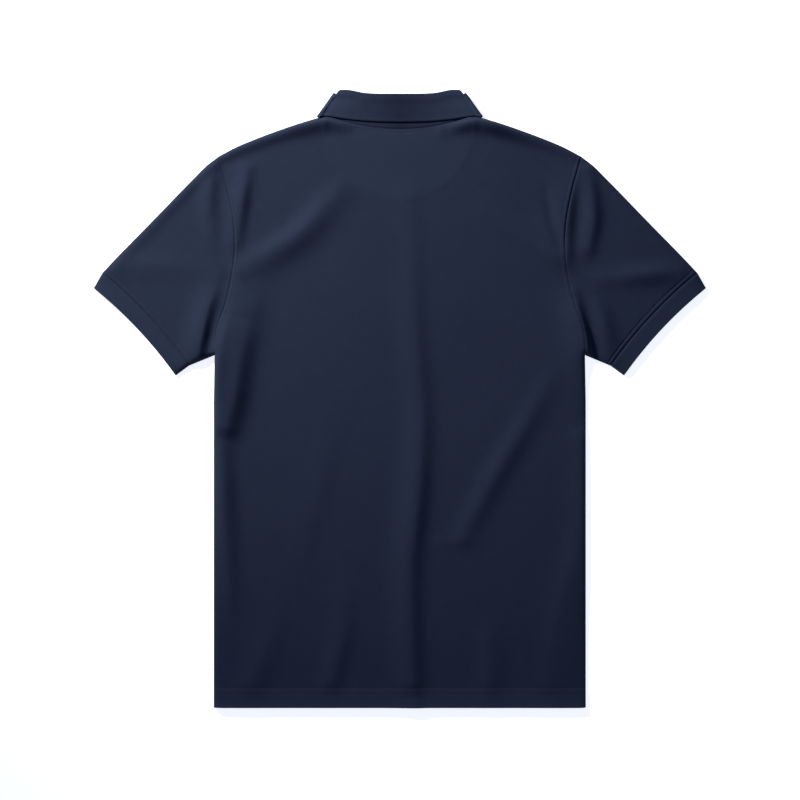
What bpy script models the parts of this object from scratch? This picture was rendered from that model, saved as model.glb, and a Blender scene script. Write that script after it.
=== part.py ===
"""A short-sleeved polo shirt with a flat-knit collar, laid flat on its front with the back up.

Metres. +X is the right side of the laid shirt seen from above, +Y runs to the collar and +Z up.
The origin is at the middle of the underside. The shirt is symmetric in its cut; only the folds differ.
Every cloth piece is a wall between two grids of points. Two fields give the heights: lower_face is the
underside of the front layer, and upper_face is the top of the back layer.
"""

import math
from collections import namedtuple

import bmesh
import bpy
import numpy as np

for thing in list(bpy.data.objects):
    bpy.data.objects.remove(thing, do_unlink=True)

# ---------------------------------------------------------------- driving dimensions

CLOTH = 0.0012  # body and sleeve knit
RIB = 0.0016  # cuff rib, one layer
COLLAR = 0.0018  # flat-knit collar
PATCH = 0.0010  # half-moon neck patch
STRIP = 0.0015  # outer placket strip, which is faced
GAP = 0.0003  # between pieces at a seam, and between layers that lie on each other

HEM_Y = -0.4015  # bottom edge of the body
HEM_DEPTH = 0.0235  # turned-up hem
HEM_TURN = 0.0008  # what the turned-up cloth adds on the inside
HEM_SOFT = 1.3  # the hem's extra thickness is gone at this many depths above the edge
BODY_HALF = 0.2420  # half the body's width at the side seams

UNDERARM = (0.2410, 0.0567)
SIDE_TOP = -0.0033  # the side seam is straight up to here and then turns in a little to the underarm
SHOULDER_TIP = (0.2360, 0.3150)
NECK_POINT = (0.0970, 0.3680)  # where the shoulder seam meets the collar
BACK_NECK_Y = 0.3500  # neck seam at centre back
FRONT_NECK_Y = 0.2830  # neck seam at centre front
FRONT_NECK_PULL = (0.0900, 0.2830)  # bends the front neckline

CUFF_TOP = (0.3868, 0.1640)  # upper end of the cuff seam
CUFF_FOOT = (0.2743, 0.0430)  # lower end of the cuff seam
CUFF_TIP = (0.3983, 0.1440)  # upper end of the cuff's free edge
CUFF_CORNER = (0.2915, 0.0303)  # lower end of the cuff's free edge
CUFF_BOW = 0.0055  # both ends of the cuff curve in by this much

PLACKET_HALF = 0.0159
PLACKET_Y = 0.1330  # lower end of the placket
BUTTON_ROWS = (0.2680, 0.2150, 0.1620)
BUTTON_RADIUS = 0.0057
BUTTON_THICK = 0.0023

MOON_RADIUS = 0.0990  # half-moon patch, about a centre on the shirt's middle line
MOON_CENTRE_Y = 0.3550
MOON_TOP_HALF = 0.0840  # half its width along the neck seam
MOON_SWEEP = math.radians(83)
MOON_DROP = 0.0008  # how far it hangs under the back, whose facets differ from its own

LOFT = 0.0030  # how far the back layer stands above the front one, away from the edges
LOFT_REACH = 0.0080  # how soon it gets there
LOFT_ROUND = 0.0008  # how softly a trough comes down on the front layer
FOLD_REACH = 0.0030  # folds keep their height up to nearer the edges
HUMP = 0.0029  # the front layer rests on the collar leaves and buttons, and is lifted by this much
HUMP_REACH = 0.0500  # and comes down to the surface over this distance
SOFT_HUMP_REACH = 0.1600  # the back layer bridges that hump and comes down over a longer way
HEM_LIFT = 0.0014  # the hem is stiffer than the cloth above it and lies higher
HEM_LIFT_REACH = 0.0500

# The cloth rolls over along the shoulder seams and the top edges of the sleeves.
# Each of the next three is given at the neck, at the shoulder tip and at the cuff.
TOP_ROLL_HEIGHTS = (0.0100, 0.0042, 0.0022)
TOP_ROLL_PLACES = (0.0050, 0.0030, 0.0035)  # where the roll is highest, from the edge
TOP_ROLL_INNER = (0.0118, 0.0078, 0.0115)  # how wide it is away from the edge
TOP_ROLL_OUTER = 0.0045  # and towards it
TOP_ROLL_START = (0.0820, 0.1070)  # it rises between these two places, under the ends of the collar's fall
COLLAR_LIFT = (0.3920, 0.3740)  # the collar rises over it fully below the second y, and not above the first

# Half the collar strip as three lines from centre back over the shoulder to centre front: the neck
# seam, the fold, and the free edge. Each is given at the middle of the flattened collar.
LEAF_SIDE = (0.1046, 0.3646)  # where the free edge passes round the shoulder
LEAF_TIP = (0.0520, 0.2720)  # point of the collar leaf
FOLD_BACK = ((0.0, 0.3938), (0.0450, 0.3950), (0.0700, 0.3992), (0.0765, 0.3986), (0.0810, 0.3942))
FALL_BACK = ((0.0, 0.3586), (0.0450, 0.3602), (0.0720, 0.3630), (0.0900, 0.3657), (0.0990, 0.3664), LEAF_SIDE)
FOLD_FRONT_PULL = (0.0590, 0.3270)
FOLD_FRONT_END = (0.0030, 0.3070)
FALL_FRONT_PULL = (0.0900, 0.3130)
STAND_END = 0.0010  # the two ends of the stand meet at the middle line
STAND_RISE = 0.00115  # from the middle of the flattened collar to the middle of the stand
FALL_RISE = 0.00340  # and to the middle of the fall
LEAF_SINK = 0.0002  # the front of the collar lies this much lower than the panel it is sewn to
HUMP_SIDE = ((0.1180, 0.3500), (0.1250, 0.4100))  # outer limit of what rests on the collar, past the leaf

Look = namedtuple("Look", "name colour roughness")
KNIT = Look("navy_knit", (0.018, 0.026, 0.052, 1.0), 0.85)
RIBBED = Look("navy_rib", (0.019, 0.027, 0.054, 1.0), 0.88)
BUTTON = Look("navy_button", (0.016, 0.020, 0.036, 1.0), 0.35)

# The sleeve's upper outline from neck to cuff, and the armhole, on the right half.
Outline = namedtuple("Outline", "x y")
SHOULDER_LINE = (
    Outline(*NECK_POINT),
    Outline(0.1407, 0.3546),
    Outline(0.1840, 0.3392),
    Outline(0.2150, 0.3262),
    Outline(*SHOULDER_TIP),
)
SLEEVE_LINE = (
    Outline(*SHOULDER_TIP),
    Outline(0.2508, 0.3035),
    Outline(0.2699, 0.2846),
    Outline(0.3230, 0.2300),
    Outline(0.3764, 0.1752),
    Outline(*CUFF_TOP),
)
ARMHOLE = (
    Outline(*SHOULDER_TIP),
    Outline(0.2240, 0.2720),
    Outline(0.2155, 0.2280),
    Outline(0.2142, 0.1950),
    Outline(0.2180, 0.1620),
    Outline(0.2265, 0.1240),
    Outline(0.2382, 0.0880),
    Outline(*UNDERARM),
)

# The folds of the back layer and of the sleeves. Each runs down along its crest, given as (x, y, height).
# right is its width on the right of that way and left its width on the left. start and end are how soon it
# dies away past its two ends.
Fold = namedtuple("Fold", "crest right left start end")
FOLDS = (
    # left shoulder blade down to the armhole
    Fold(
        ((-0.080, 0.268, 0.0034), (-0.134, 0.2115, 0.0088), (-0.211, 0.165, 0.0034)),
        0.0150,
        0.0205,
        0.016,
        0.008,
    ),
    # beside the left armhole
    Fold(
        ((-0.197, 0.298, 0.0030), (-0.203, 0.262, 0.0056), (-0.210, 0.212, 0.0034)),
        0.015,
        0.0085,
        0.008,
        0.022,
    ),
    # long one down the middle, to the hem
    Fold(
        (
            (0.014, 0.262, 0.0012),
            (0.017, 0.200, 0.0018),
            (0.017, 0.128, 0.0032),
            (0.023, 0.045, 0.0044),
            (0.028, -0.020, 0.0054),
            (0.027, -0.060, 0.0064),
            (0.023, -0.125, 0.0080),
            (0.014, -0.210, 0.0080),
            (0.014, -0.295, 0.0082),
            (0.018, -0.399, 0.0078),
        ),
        0.0200,
        0.0138,
        0.020,
        0.030,
    ),
    # slanting one on the right of the waist
    Fold(
        (
            (0.205, 0.042, 0.0006),
            (0.160, -0.038, 0.0042),
            (0.130, -0.088, 0.0052),
            (0.0985, -0.147, 0.0042),
            (0.084, -0.176, 0.0030),
        ),
        0.0145,
        0.0155,
        0.040,
        0.016,
    ),
    # short one across, below its end
    Fold(
        ((0.040, -0.190, 0.0007), (0.066, -0.186, 0.0013), (0.096, -0.188, 0.0007)),
        0.007,
        0.010,
        0.012,
        0.015,
    ),
    # along the left side seam, with a pinch half way down
    Fold(
        (
            (-0.195, 0.104, 0.0034),
            (-0.208, 0.050, 0.0080),
            (-0.2155, 0.002, 0.0094),
            (-0.2245, -0.034, 0.0084),
        ),
        0.034,
        0.0155,
        0.045,
        0.017,
    ),
    Fold(
        (
            (-0.230, -0.070, 0.0045),
            (-0.228, -0.130, 0.0066),
            (-0.226, -0.184, 0.0056),
            (-0.218, -0.232, 0.0036),
        ),
        0.012,
        0.013,
        0.020,
        0.045,
    ),
    # right side seam, then inwards to the hem
    Fold(
        (
            (0.237, -0.046, 0.0036),
            (0.237, -0.110, 0.0038),
            (0.233, -0.180, 0.0048),
            (0.221, -0.235, 0.0052),
            (0.208, -0.290, 0.0048),
            (0.194, -0.372, 0.0042),
        ),
        0.018,
        0.060,
        0.008,
        0.040,
    ),
    # soft one left of the middle
    Fold(
        ((-0.093, -0.054, 0.0010), (-0.107, -0.120, 0.0018), (-0.125, -0.195, 0.0012)),
        0.024,
        0.016,
        0.045,
        0.030,
    ),
    # rising from the hem
    Fold(
        ((-0.073, -0.268, 0.0016), (-0.076, -0.314, 0.0042), (-0.089, -0.366, 0.0046)),
        0.016,
        0.013,
        0.025,
        0.025,
    ),
    Fold(
        ((-0.163, -0.292, 0.0012), (-0.178, -0.336, 0.0032), (-0.191, -0.372, 0.0038)),
        0.017,
        0.014,
        0.030,
        0.025,
    ),
    Fold(((0.115, -0.318, 0.0022), (0.115, -0.376, 0.0034)), 0.013, 0.013, 0.025, 0.025),
    # right shoulder blade: a low ridge, and a crease from the shoulder into it
    Fold(
        ((0.214, 0.176, 0.0015), (0.167, 0.204, 0.0020), (0.112, 0.235, 0.0012)),
        0.016,
        0.009,
        0.015,
        0.025,
    ),
    Fold(
        ((0.187, 0.285, -0.0018), (0.197, 0.240, -0.0028), (0.208, 0.195, -0.0018)),
        0.0075,
        0.0075,
        0.015,
        0.015,
    ),
    # left sleeve: below the shoulder, into the underarm, and across
    Fold(
        ((-0.242, 0.300, 0.0042), (-0.246, 0.270, 0.0052), (-0.246, 0.236, 0.0024)),
        0.013,
        0.0085,
        0.008,
        0.020,
    ),
    Fold(
        ((-0.240, 0.148, 0.0018), (-0.250, 0.114, 0.0070), (-0.256, 0.086, 0.0096), (-0.262, 0.060, 0.0098)),
        0.019,
        0.0095,
        0.028,
        0.008,
    ),
    Fold(
        ((-0.262, 0.168, 0.0010), (-0.315, 0.172, 0.0024), (-0.362, 0.170, 0.0024)),
        0.015,
        0.017,
        0.025,
        0.012,
    ),
    # the body's side of the left armhole stands above the sleeve
    Fold(
        (
            (-0.211, 0.160, 0.0008),
            (-0.2165, 0.122, 0.0032),
            (-0.2240, 0.088, 0.0044),
            (-0.231, 0.060, 0.0030),
        ),
        0.009,
        0.028,
        0.020,
        0.040,
    ),
    # right sleeve: below the shoulder, across, and into the underarm
    Fold(
        ((0.244, 0.298, 0.0035), (0.249, 0.262, 0.0058), (0.251, 0.236, 0.0062), (0.245, 0.198, 0.0042)),
        0.013,
        0.0105,
        0.006,
        0.014,
    ),
    Fold(
        ((0.362, 0.164, 0.0048), (0.325, 0.162, 0.0060), (0.272, 0.157, 0.0020)),
        0.012,
        0.0135,
        0.014,
        0.025,
    ),
    Fold(
        ((0.252, 0.134, 0.0012), (0.260, 0.112, 0.0042), (0.266, 0.092, 0.0058), (0.272, 0.070, 0.0056)),
        0.011,
        0.0125,
        0.012,
        0.008,
    ),
    # and so does the body's side of the right one
    Fold(
        (
            (0.228, 0.130, 0.0008),
            (0.2335, 0.108, 0.0046),
            (0.2385, 0.085, 0.0084),
            (0.2420, 0.066, 0.0090),
            (0.240, 0.036, 0.0040),
            (0.240, 0.000, 0.0012),
        ),
        0.020,
        0.0075,
        0.012,
        0.020,
    ),
)

BUTTON_PROFILE = (  # share of the radius, share of the thickness, from the middle of the face to the back
    (0.50, 0.26),
    (0.66, 0.22),
    (0.80, 0.00),
    (0.94, 0.04),
    (1.00, 0.30),
    (0.97, 0.66),
    (0.70, 1.00),
)

# ---------------------------------------------------------------- how finely the pieces are divided

FINE = 61  # points of an outline where distances are measured from it
EDGE_EVERY = 6  # and every how many of them are enough for the heights
SLEEVE_FINE = 13
CREST_POINTS = 6  # a crest is followed by this many points for each one given
BACK_NECK_CELLS = 12  # half the back neck seam
FRONT_NECK_CELLS = 6  # the front neck seam on one side of the placket
SHOULDER_CELLS = 14
BACK_LEVELS = 26  # between the hem and the underarm, where the back is finer for its folds
FRONT_LEVELS = 6
LEVELS_TO_PLACKET = 3  # between the underarm and the placket's foot
LEVELS_ABOVE = 10
TOP_ROWS = (0.0090, 0.0035)  # two more levels, this far below the top edge
TOP_SPAN = 0.2  # levels above the placket's foot are counted as shares of this span
ACROSS_SLEEVE = LEVELS_TO_PLACKET + LEVELS_ABOVE + len(TOP_ROWS)
ALONG_SLEEVE = 14
UNDER_EVERY = 3  # the flat underside of a sleeve takes every third point across
CUFF_ROWS = 4
EDGE_TURNS = 4  # facets of a folded edge
CREASE_TURNS = 4  # facets of the collar's bend over each shoulder
STAND_CELLS = 2
FALL_CELLS = 4
NOSE_TURNS = 4  # facets of the collar's fold
MOON_ROWS, MOON_COLUMNS = 9, 23
STRIP_ROWS, STRIP_COLUMNS = 9, 5
BUTTON_SIDES = 20
SHARP = math.radians(50)  # edges that turn more than this stay sharp
SLACK = 0.001  # tells which edge a grid point belongs to

# ---------------------------------------------------------------- curves in the plane


def lengths(line):
    """Distance in plan along a line of points, from its start."""
    return np.concatenate([[0], np.cumsum(np.linalg.norm(np.diff(line[:, :2], axis=0), axis=1))])


def through(points, count):
    """A smooth curve through the points: cubic pieces whose slopes go by the distances between them."""
    knots = np.array(points, float)
    along = lengths(knots)
    steps = np.diff(along)[:, None]
    rises = np.diff(knots, axis=0) / steps
    slopes = np.empty_like(knots)
    slopes[0], slopes[-1] = rises[0], rises[-1]
    slopes[1:-1] = (rises[:-1] * steps[1:] + rises[1:] * steps[:-1]) / (steps[:-1] + steps[1:])
    at = np.linspace(0, along[-1], count)
    i = np.clip(np.searchsorted(along, at, side="right") - 1, 0, len(steps) - 1)
    h = steps[i]
    t = ((at - along[i])[:, None]) / h
    return (
        knots[i] * (2 * t**3 - 3 * t**2 + 1)
        + slopes[i] * h * (t**3 - 2 * t**2 + t)
        + knots[i + 1] * (3 * t**2 - 2 * t**3)
        + slopes[i + 1] * h * (t**3 - t**2)
    )


def pulled(start, pull, end, count):
    """A quadratic curve from start to end, drawn towards pull."""
    t = np.linspace(0, 1, count)[:, None]
    return (1 - t) ** 2 * np.array(start) + 2 * t * (1 - t) * np.array(pull) + t**2 * np.array(end)


def bowed(start, end, bow, count):
    """A shallow curve from start to end whose middle stands bow to the right of the way there."""
    start, end = np.array(start), np.array(end)
    way = (end - start) / np.linalg.norm(end - start)
    t = np.linspace(0, 1, count)[:, None]
    return start + t * (end - start) + 4 * t * (1 - t) * bow * np.array([way[1], -way[0]])


def smooth(t):
    t = np.clip(t, 0, 1)
    return t * t * (3 - 2 * t)


def bell(t):
    return np.exp(-(t**2))


def mirrored(points, side):
    return np.array(points, float) * [side, 1]


armhole = through(ARMHOLE, FINE)
shoulder = through(SHOULDER_LINE, FINE)
TOP_EDGE = np.concatenate([shoulder[::EDGE_EVERY], through(SLEEVE_LINE, SLEEVE_FINE)[1:]])
back_neck = pulled((0, BACK_NECK_Y), (NECK_POINT[0] / 2, BACK_NECK_Y), NECK_POINT, FINE)
front_neck = pulled((0, FRONT_NECK_Y), FRONT_NECK_PULL, NECK_POINT, FINE)


def across(from_x, to_x, cells):
    return list(np.linspace(from_x, to_x, cells + 1))


def front_neck_places():
    """Places across the front neckline, even along the curve, with one at the placket's slot."""
    slot = PLACKET_HALF + GAP
    along = lengths(front_neck)
    start = np.interp(slot, front_neck[:, 0], along)
    rest = np.interp(across(start, along[-1], FRONT_NECK_CELLS), along, front_neck[:, 0])
    return [0.0, slot, *rest[1:-1], NECK_POINT[0]]


def neck_points(neck, places):
    return np.stack([places, np.interp(places, neck[:, 0], neck[:, 1])], axis=-1)


back_neck_places = across(0, NECK_POINT[0], BACK_NECK_CELLS)

# ---------------------------------------------------------------- heights


def from_line(x, y, line):
    """Distance from each point to a line of points, the side it lies on, and how far along it is."""
    best = np.full(x.shape, np.inf)
    side, along = np.zeros(x.shape), np.zeros(x.shape)
    done = 0.0
    line = np.array(line, float)
    last = len(line) - 2
    for k in range(last + 1):
        a, b = line[k], line[k + 1]
        length = np.linalg.norm(b - a)
        d = (b - a) / length
        raw = (x - a[0]) * d[0] + (y - a[1]) * d[1]
        t = np.clip(raw, 0, length)
        px, py = x - a[0] - t * d[0], y - a[1] - t * d[1]
        distance = np.hypot(px, py)
        near = distance < best
        best = np.where(near, distance, best)
        side = np.where(near, np.sign(d[0] * (y - a[1]) - d[1] * (x - a[0])), side)
        beyond = np.where(k == 0, np.minimum(raw, 0), 0) + np.where(k == last, np.maximum(raw - length, 0), 0)
        along = np.where(near, done + t + beyond, along)
        done += length
    return best, side, along, done


def closed_edges():
    """The outlines where the back and front layers are joined, without the open hem, neck and cuff ends."""
    side = [(BODY_HALF, HEM_Y), (BODY_HALF, SIDE_TOP), UNDERARM]
    lower = [*side, CUFF_FOOT, CUFF_CORNER]
    upper = [*TOP_EDGE, CUFF_TIP]
    return [mirrored(line, s) for line in (lower, upper) for s in (1, -1)]


EDGES = closed_edges()


def edge_distance(x, y):
    return np.min([from_line(x, y, line)[0] for line in EDGES], axis=0)


def hump_distance(x, y):
    """How far a point lies outside the part of the front that rests on the leaves and the buttons."""
    x = np.abs(x)
    foot = (PLACKET_HALF, PLACKET_Y)
    distance, side, _, _ = from_line(x, y, [(0, PLACKET_Y), foot, LEAF_TIP, *HUMP_SIDE])
    return np.where(side > 0, 0, distance)


def lower_face(x, y):
    """Underside of the front layer."""
    x, y = np.asarray(x, float), np.asarray(y, float)
    return HUMP * (1 - smooth(hump_distance(x, y) / HUMP_REACH))


def fold_height(x, y):
    total = np.zeros(x.shape)
    for fold in FOLDS:
        crest = through(fold.crest, CREST_POINTS * len(fold.crest))
        distance, side, along, length = from_line(x, y, crest[:, :2])
        before, after = np.maximum(-along, 0), np.maximum(along - length, 0)
        aside = np.sqrt(np.maximum(distance**2 - (before + after) ** 2, 0))
        height = np.interp(along, lengths(crest), crest[:, 2])
        width = np.where(side > 0, fold.left, fold.right)
        total += height * bell(aside / width) * bell(before / fold.start) * bell(after / fold.end)
    return total


def top_roll(x, y):
    """The roll just inside the shoulder seams and the sleeves' top edges, highest beside the collar."""
    distance, _, along, length = from_line(np.abs(x), y, TOP_EDGE)
    stations = (0, lengths(shoulder)[-1], length)
    height = np.interp(along, stations, TOP_ROLL_HEIGHTS)
    beyond = distance - np.interp(along, stations, TOP_ROLL_PLACES)
    width = np.where(beyond < 0, TOP_ROLL_OUTER, np.interp(along, stations, TOP_ROLL_INNER))
    start, full = TOP_ROLL_START
    return height * bell(beyond / width) * smooth((np.abs(x) - start) / (full - start))


def upper_face(x, y):
    """Top of the back layer. At a joined edge it lies on the front layer."""
    x, y = np.asarray(x, float), np.asarray(y, float)
    distance = edge_distance(x, y)
    low = lower_face(x, y)
    bridge = HUMP * (1 - smooth(hump_distance(x, y) / SOFT_HUMP_REACH)) - low
    lift = HEM_LIFT * smooth(1 - (y - HEM_Y) / HEM_LIFT_REACH)
    inside = 1 - np.exp(-distance / FOLD_REACH)
    rise = (1 - np.exp(-distance / LOFT_REACH)) * (LOFT + bridge + lift)
    rise = rise + inside * (fold_height(x, y) + top_roll(x, y))
    rise = (rise + np.sqrt(rise**2 + (LOFT_ROUND * inside) ** 2)) / 2
    hem = 2 * HEM_TURN * smooth((HEM_Y + 2 * HEM_DEPTH - y) / HEM_DEPTH)
    return low + 2 * CLOTH + GAP + hem + rise


# ---------------------------------------------------------------- making solids


def material_of(look):
    material = bpy.data.materials.get(look.name) or bpy.data.materials.new(look.name)
    material.use_nodes = True
    shader = material.node_tree.nodes["Principled BSDF"]
    shader.inputs["Base Color"].default_value = look.colour
    shader.inputs["Roughness"].default_value = look.roughness
    shader.inputs["Metallic"].default_value = 0.0
    return material


def add_object(name, bm, look):
    if bm.calc_volume(signed=True) < 0:
        bmesh.ops.reverse_faces(bm, faces=bm.faces)
    mesh = bpy.data.meshes.new(name)
    bm.to_mesh(mesh)
    bm.free()
    mesh.shade_smooth()
    mesh.set_sharp_from_angle(angle=SHARP)
    thing = bpy.data.objects.new(name, mesh)
    thing.data.materials.append(material_of(look))
    bpy.context.scene.collection.objects.link(thing)


def add_wall(name, outer, inner, look, wraps=False, is_cut=None):
    """A closed solid between two grids of points, with a rim along each free edge.

    wraps closes the grid on itself across the columns. is_cut(row, column) leaves a cell out.
    """
    rows, columns = len(outer), len(outer[0])
    cells_across = columns if wraps else columns - 1
    bm = bmesh.new()
    out = [[bm.verts.new(p) for p in row] for row in outer]
    inn = [[bm.verts.new(p) for p in row] for row in inner]

    def is_there(r, c):
        if wraps:
            c %= columns
        if not (0 <= r < rows - 1 and 0 <= c < cells_across):
            return False
        return not (is_cut and is_cut(r, c))

    for r in range(rows - 1):
        for c in range(cells_across):
            if not is_there(r, c):
                continue
            d = (c + 1) % columns
            ring = [(r, c), (r, d), (r + 1, d), (r + 1, c)]
            beyond = [(r - 1, c), (r, c + 1), (r + 1, c), (r, c - 1)]
            bm.faces.new([out[i][j] for i, j in ring])
            bm.faces.new([inn[i][j] for i, j in reversed(ring)])
            for k in range(4):
                if not is_there(*beyond[k]):
                    (i, j), (m, n) = ring[k], ring[(k + 1) % 4]
                    bm.faces.new([out[m][n], out[i][j], inn[i][j], inn[m][n]])
    bmesh.ops.delete(bm, geom=[v for v in bm.verts if not v.link_faces], context="VERTS")
    add_object(name, bm, look)


# ---------------------------------------------------------------- back and front panels


def half_width(y):
    """From the middle line to the side seam or the armhole, at a height on the body."""
    falling = armhole[::-1]
    return np.interp(y, [HEM_Y, SIDE_TOP, *falling[:, 1]], [BODY_HALF, BODY_HALF, *falling[:, 0]])


def panel_columns(neck_xs):
    """Places across the top edge, from one shoulder tip to the other, with one at each neck point."""
    right = [*neck_xs, *across(NECK_POINT[0], SHOULDER_TIP[0], SHOULDER_CELLS)[1:]]
    return np.array([-x for x in reversed(right[1:])] + right)


def panel_points(columns, rows, neck):
    """Plan positions of a body panel. Rows run level up to the placket's foot and then fan out to the top."""
    top_x = np.concatenate([neck[:, 0], shoulder[1:, 0]])
    top_y = np.concatenate([neck[:, 1], shoulder[1:, 1]])
    straight = NECK_POINT[0]
    points = []
    for level in rows:
        line = []
        for x in columns:
            top = np.interp(abs(x), top_x, top_y)
            above = max(level - PLACKET_Y, 0) * (top - PLACKET_Y) / TOP_SPAN
            y = min(level, PLACKET_Y) + above
            edge = half_width(min(y, SHOULDER_TIP[1]))
            over = max(abs(x) - straight, 0) * (edge - straight) / (SHOULDER_TIP[0] - straight)
            line.append((math.copysign(min(abs(x), straight) + over, x), y))
        points.append(line)
    return np.array(points)


def seam_inset(plan):
    """Draws a panel's armholes and neck edge back by half a gap, so that its neighbours clear it."""
    plan = plan.copy()
    arm = plan[:, 0, 1] > UNDERARM[1] + SLACK
    plan[arm, 0, 0] += GAP / 2
    plan[arm, -1, 0] -= GAP / 2
    neck = np.abs(plan[-1, :, 0]) < NECK_POINT[0] - SLACK
    slope = np.gradient(plan[-1, :, 1], plan[-1, :, 0])
    normal = np.stack([-slope, np.ones_like(slope)], axis=-1)
    normal /= np.linalg.norm(normal, axis=1)[:, None]
    plan[-1, neck] -= normal[neck] * GAP / 2
    return plan


def body_rows(levels_below):
    """Levels of a panel: the hem, level rows up to the underarm, then the rows along the armhole."""
    above_hem = HEM_Y + HEM_SOFT * HEM_DEPTH
    return [
        HEM_Y,
        HEM_Y + 0.5 * HEM_DEPTH,
        HEM_Y + HEM_DEPTH,
        *across(above_hem, UNDERARM[1], levels_below)[:-1],
        *across(UNDERARM[1], PLACKET_Y, LEVELS_TO_PLACKET)[:-1],
        *across(PLACKET_Y, PLACKET_Y + TOP_SPAN, LEVELS_ABOVE)[:-1],
        *(PLACKET_Y + TOP_SPAN - deep for deep in TOP_ROWS),
        PLACKET_Y + TOP_SPAN,
    ]


def hem_turn(y):
    """Extra thickness inside the turned-up hem."""
    return HEM_TURN * smooth((HEM_Y + HEM_SOFT * HEM_DEPTH - y) / ((HEM_SOFT - 1) * HEM_DEPTH))


def with_height(plan, z):
    return np.concatenate([plan, z[..., None]], axis=-1)


def make_back():
    plan = seam_inset(panel_points(panel_columns(back_neck_places), body_rows(BACK_LEVELS), back_neck))
    x, y = plan[..., 0], plan[..., 1]
    top = upper_face(x, y)
    add_wall("back", with_height(plan, top), with_height(plan, top - CLOTH - hem_turn(y)), KNIT)
    return plan, top


def height_on(panel, x, y):
    """Top of a panel at a point, between the panel's own grid points. Its columns run straight here."""
    plan, top = panel
    columns = plan[0, :, 0]
    right = int(np.clip(np.searchsorted(columns, x), 1, len(columns) - 1))
    pair = [np.interp(y, plan[:, c, 1], top[:, c]) for c in (right - 1, right)]
    return float(np.interp(x, columns[right - 1 : right + 1], pair))


def make_front():
    plan = seam_inset(panel_points(panel_columns(front_neck_places()), body_rows(FRONT_LEVELS), front_neck))
    x, y = plan[..., 0], plan[..., 1]
    under = lower_face(x, y)
    inner = with_height(plan, under + CLOTH + hem_turn(y))

    def in_slot(r, c):
        return y[r, c] > PLACKET_Y - SLACK and abs(x[r, c] + x[r, c + 1]) / 2 < PLACKET_HALF

    add_wall("front", with_height(plan, under), inner, KNIT, is_cut=in_slot)


# ---------------------------------------------------------------- sleeves and cuffs


def patch(first, last, top, foot):
    """Plan positions between four curves: first and last run across the sleeve, top and foot along it."""
    s = np.linspace(0, 1, len(top))[:, None, None]
    t = np.linspace(0, 1, len(first))[None, :, None]
    corners = (1 - s) * ((1 - t) * first[0] + t * first[-1]) + s * ((1 - t) * last[0] + t * last[-1])
    return (1 - s) * first[None] + s * last[None] + (1 - t) * top[:, None] + t * foot[:, None] - corners


def flattened_ring(line, thick, inside):
    """One section of a flattened tube over a line across the sleeve; inside gives the inner wall."""
    low = lower_face(line[:, 0], line[:, 1])
    high = upper_face(line[:, 0], line[:, 1]) + 2 * (thick - CLOTH)
    inset = thick if inside else 0.0
    points = []
    for end, step in ((0, 1), (-1, -1)):
        inward = line[end + step] - line[end]
        inward = inward / np.linalg.norm(inward)
        radius = (high[end] - low[end]) / 2
        centre = line[end] + inward * radius
        turns = [step * math.pi * (k / EDGE_TURNS - 0.5) for k in range(EDGE_TURNS + 1)]
        for turn in turns:
            out = (radius - inset) * math.cos(turn)
            rise = (radius - inset) * math.sin(turn)
            points.append((*(centre - inward * out), (high[end] + low[end]) / 2 + rise))
        if end == 0:
            points += [(*line[k], high[k] - inset) for k in range(1, len(line) - 1)]
        else:
            points += [(*line[k], low[k] + inset) for k in range(len(line) - 2, 0, -UNDER_EVERY)]
    return points


def make_tube(name, plan, thick, look):
    outer = np.array([flattened_ring(line, thick, False) for line in plan])
    inner = np.array([flattened_ring(line, thick, True) for line in plan])
    add_wall(name, outer, inner, look, wraps=True)


def seam_gap_from(curve, towards):
    """A curve moved half a gap off its seam, to the side where towards lies."""
    tangent = np.gradient(curve, axis=0)
    normal = np.stack([tangent[:, 1], -tangent[:, 0]], axis=-1)
    normal /= np.linalg.norm(normal, axis=1)[:, None]
    lean = np.sign(np.sum((np.array(towards) - curve.mean(axis=0)) * normal.mean(axis=0)))
    return curve + lean * normal * GAP / 2


def armhole_at_rows():
    """The armhole's points at the levels of the panels' rows, from the shoulder tip down."""
    levels = np.array(body_rows(1)[-ACROSS_SLEEVE - 1 :])
    above = PLACKET_Y + (levels - PLACKET_Y) * (SHOULDER_TIP[1] - PLACKET_Y) / TOP_SPAN
    y = np.where(levels > PLACKET_Y, above, levels)[::-1]
    return np.stack([half_width(y), y], axis=-1)


def across_cuff(start, end):
    return bowed(start, end, CUFF_BOW, ACROSS_SLEEVE + 1)


def make_sleeve(name, side):
    first = seam_gap_from(armhole_at_rows(), CUFF_TIP)
    last = seam_gap_from(across_cuff(CUFF_TOP, CUFF_FOOT), SHOULDER_TIP)
    top = through(SLEEVE_LINE, ALONG_SLEEVE + 1)
    foot = through((UNDERARM, CUFF_FOOT), ALONG_SLEEVE + 1)
    top[0], top[-1], foot[0], foot[-1] = first[0], last[0], first[-1], last[-1]
    make_tube(name, mirrored(patch(first, last, top, foot), side), CLOTH, KNIT)


def make_cuff(name, side):
    first = seam_gap_from(across_cuff(CUFF_TOP, CUFF_FOOT), CUFF_TIP)
    last = across_cuff(CUFF_TIP, CUFF_CORNER)
    top = through((first[0], CUFF_TIP), CUFF_ROWS)
    foot = through((first[-1], CUFF_CORNER), CUFF_ROWS)
    make_tube(name, mirrored(patch(first, last, top, foot), side), RIB, RIBBED)


# ---------------------------------------------------------------- collar

front_core = HUMP + CLOTH / 2 + STAND_RISE - LEAF_SINK
back_core = float(upper_face(0.0, BACK_NECK_Y)) - CLOTH / 2 - STAND_RISE


def neck_seam(points):
    """The neck edge moved half a gap to the collar's side."""
    tangent = np.gradient(points, axis=0)
    normal = np.stack([-tangent[:, 1], tangent[:, 0]], axis=-1)
    return points + normal / np.linalg.norm(normal, axis=1)[:, None] * GAP / 2


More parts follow.
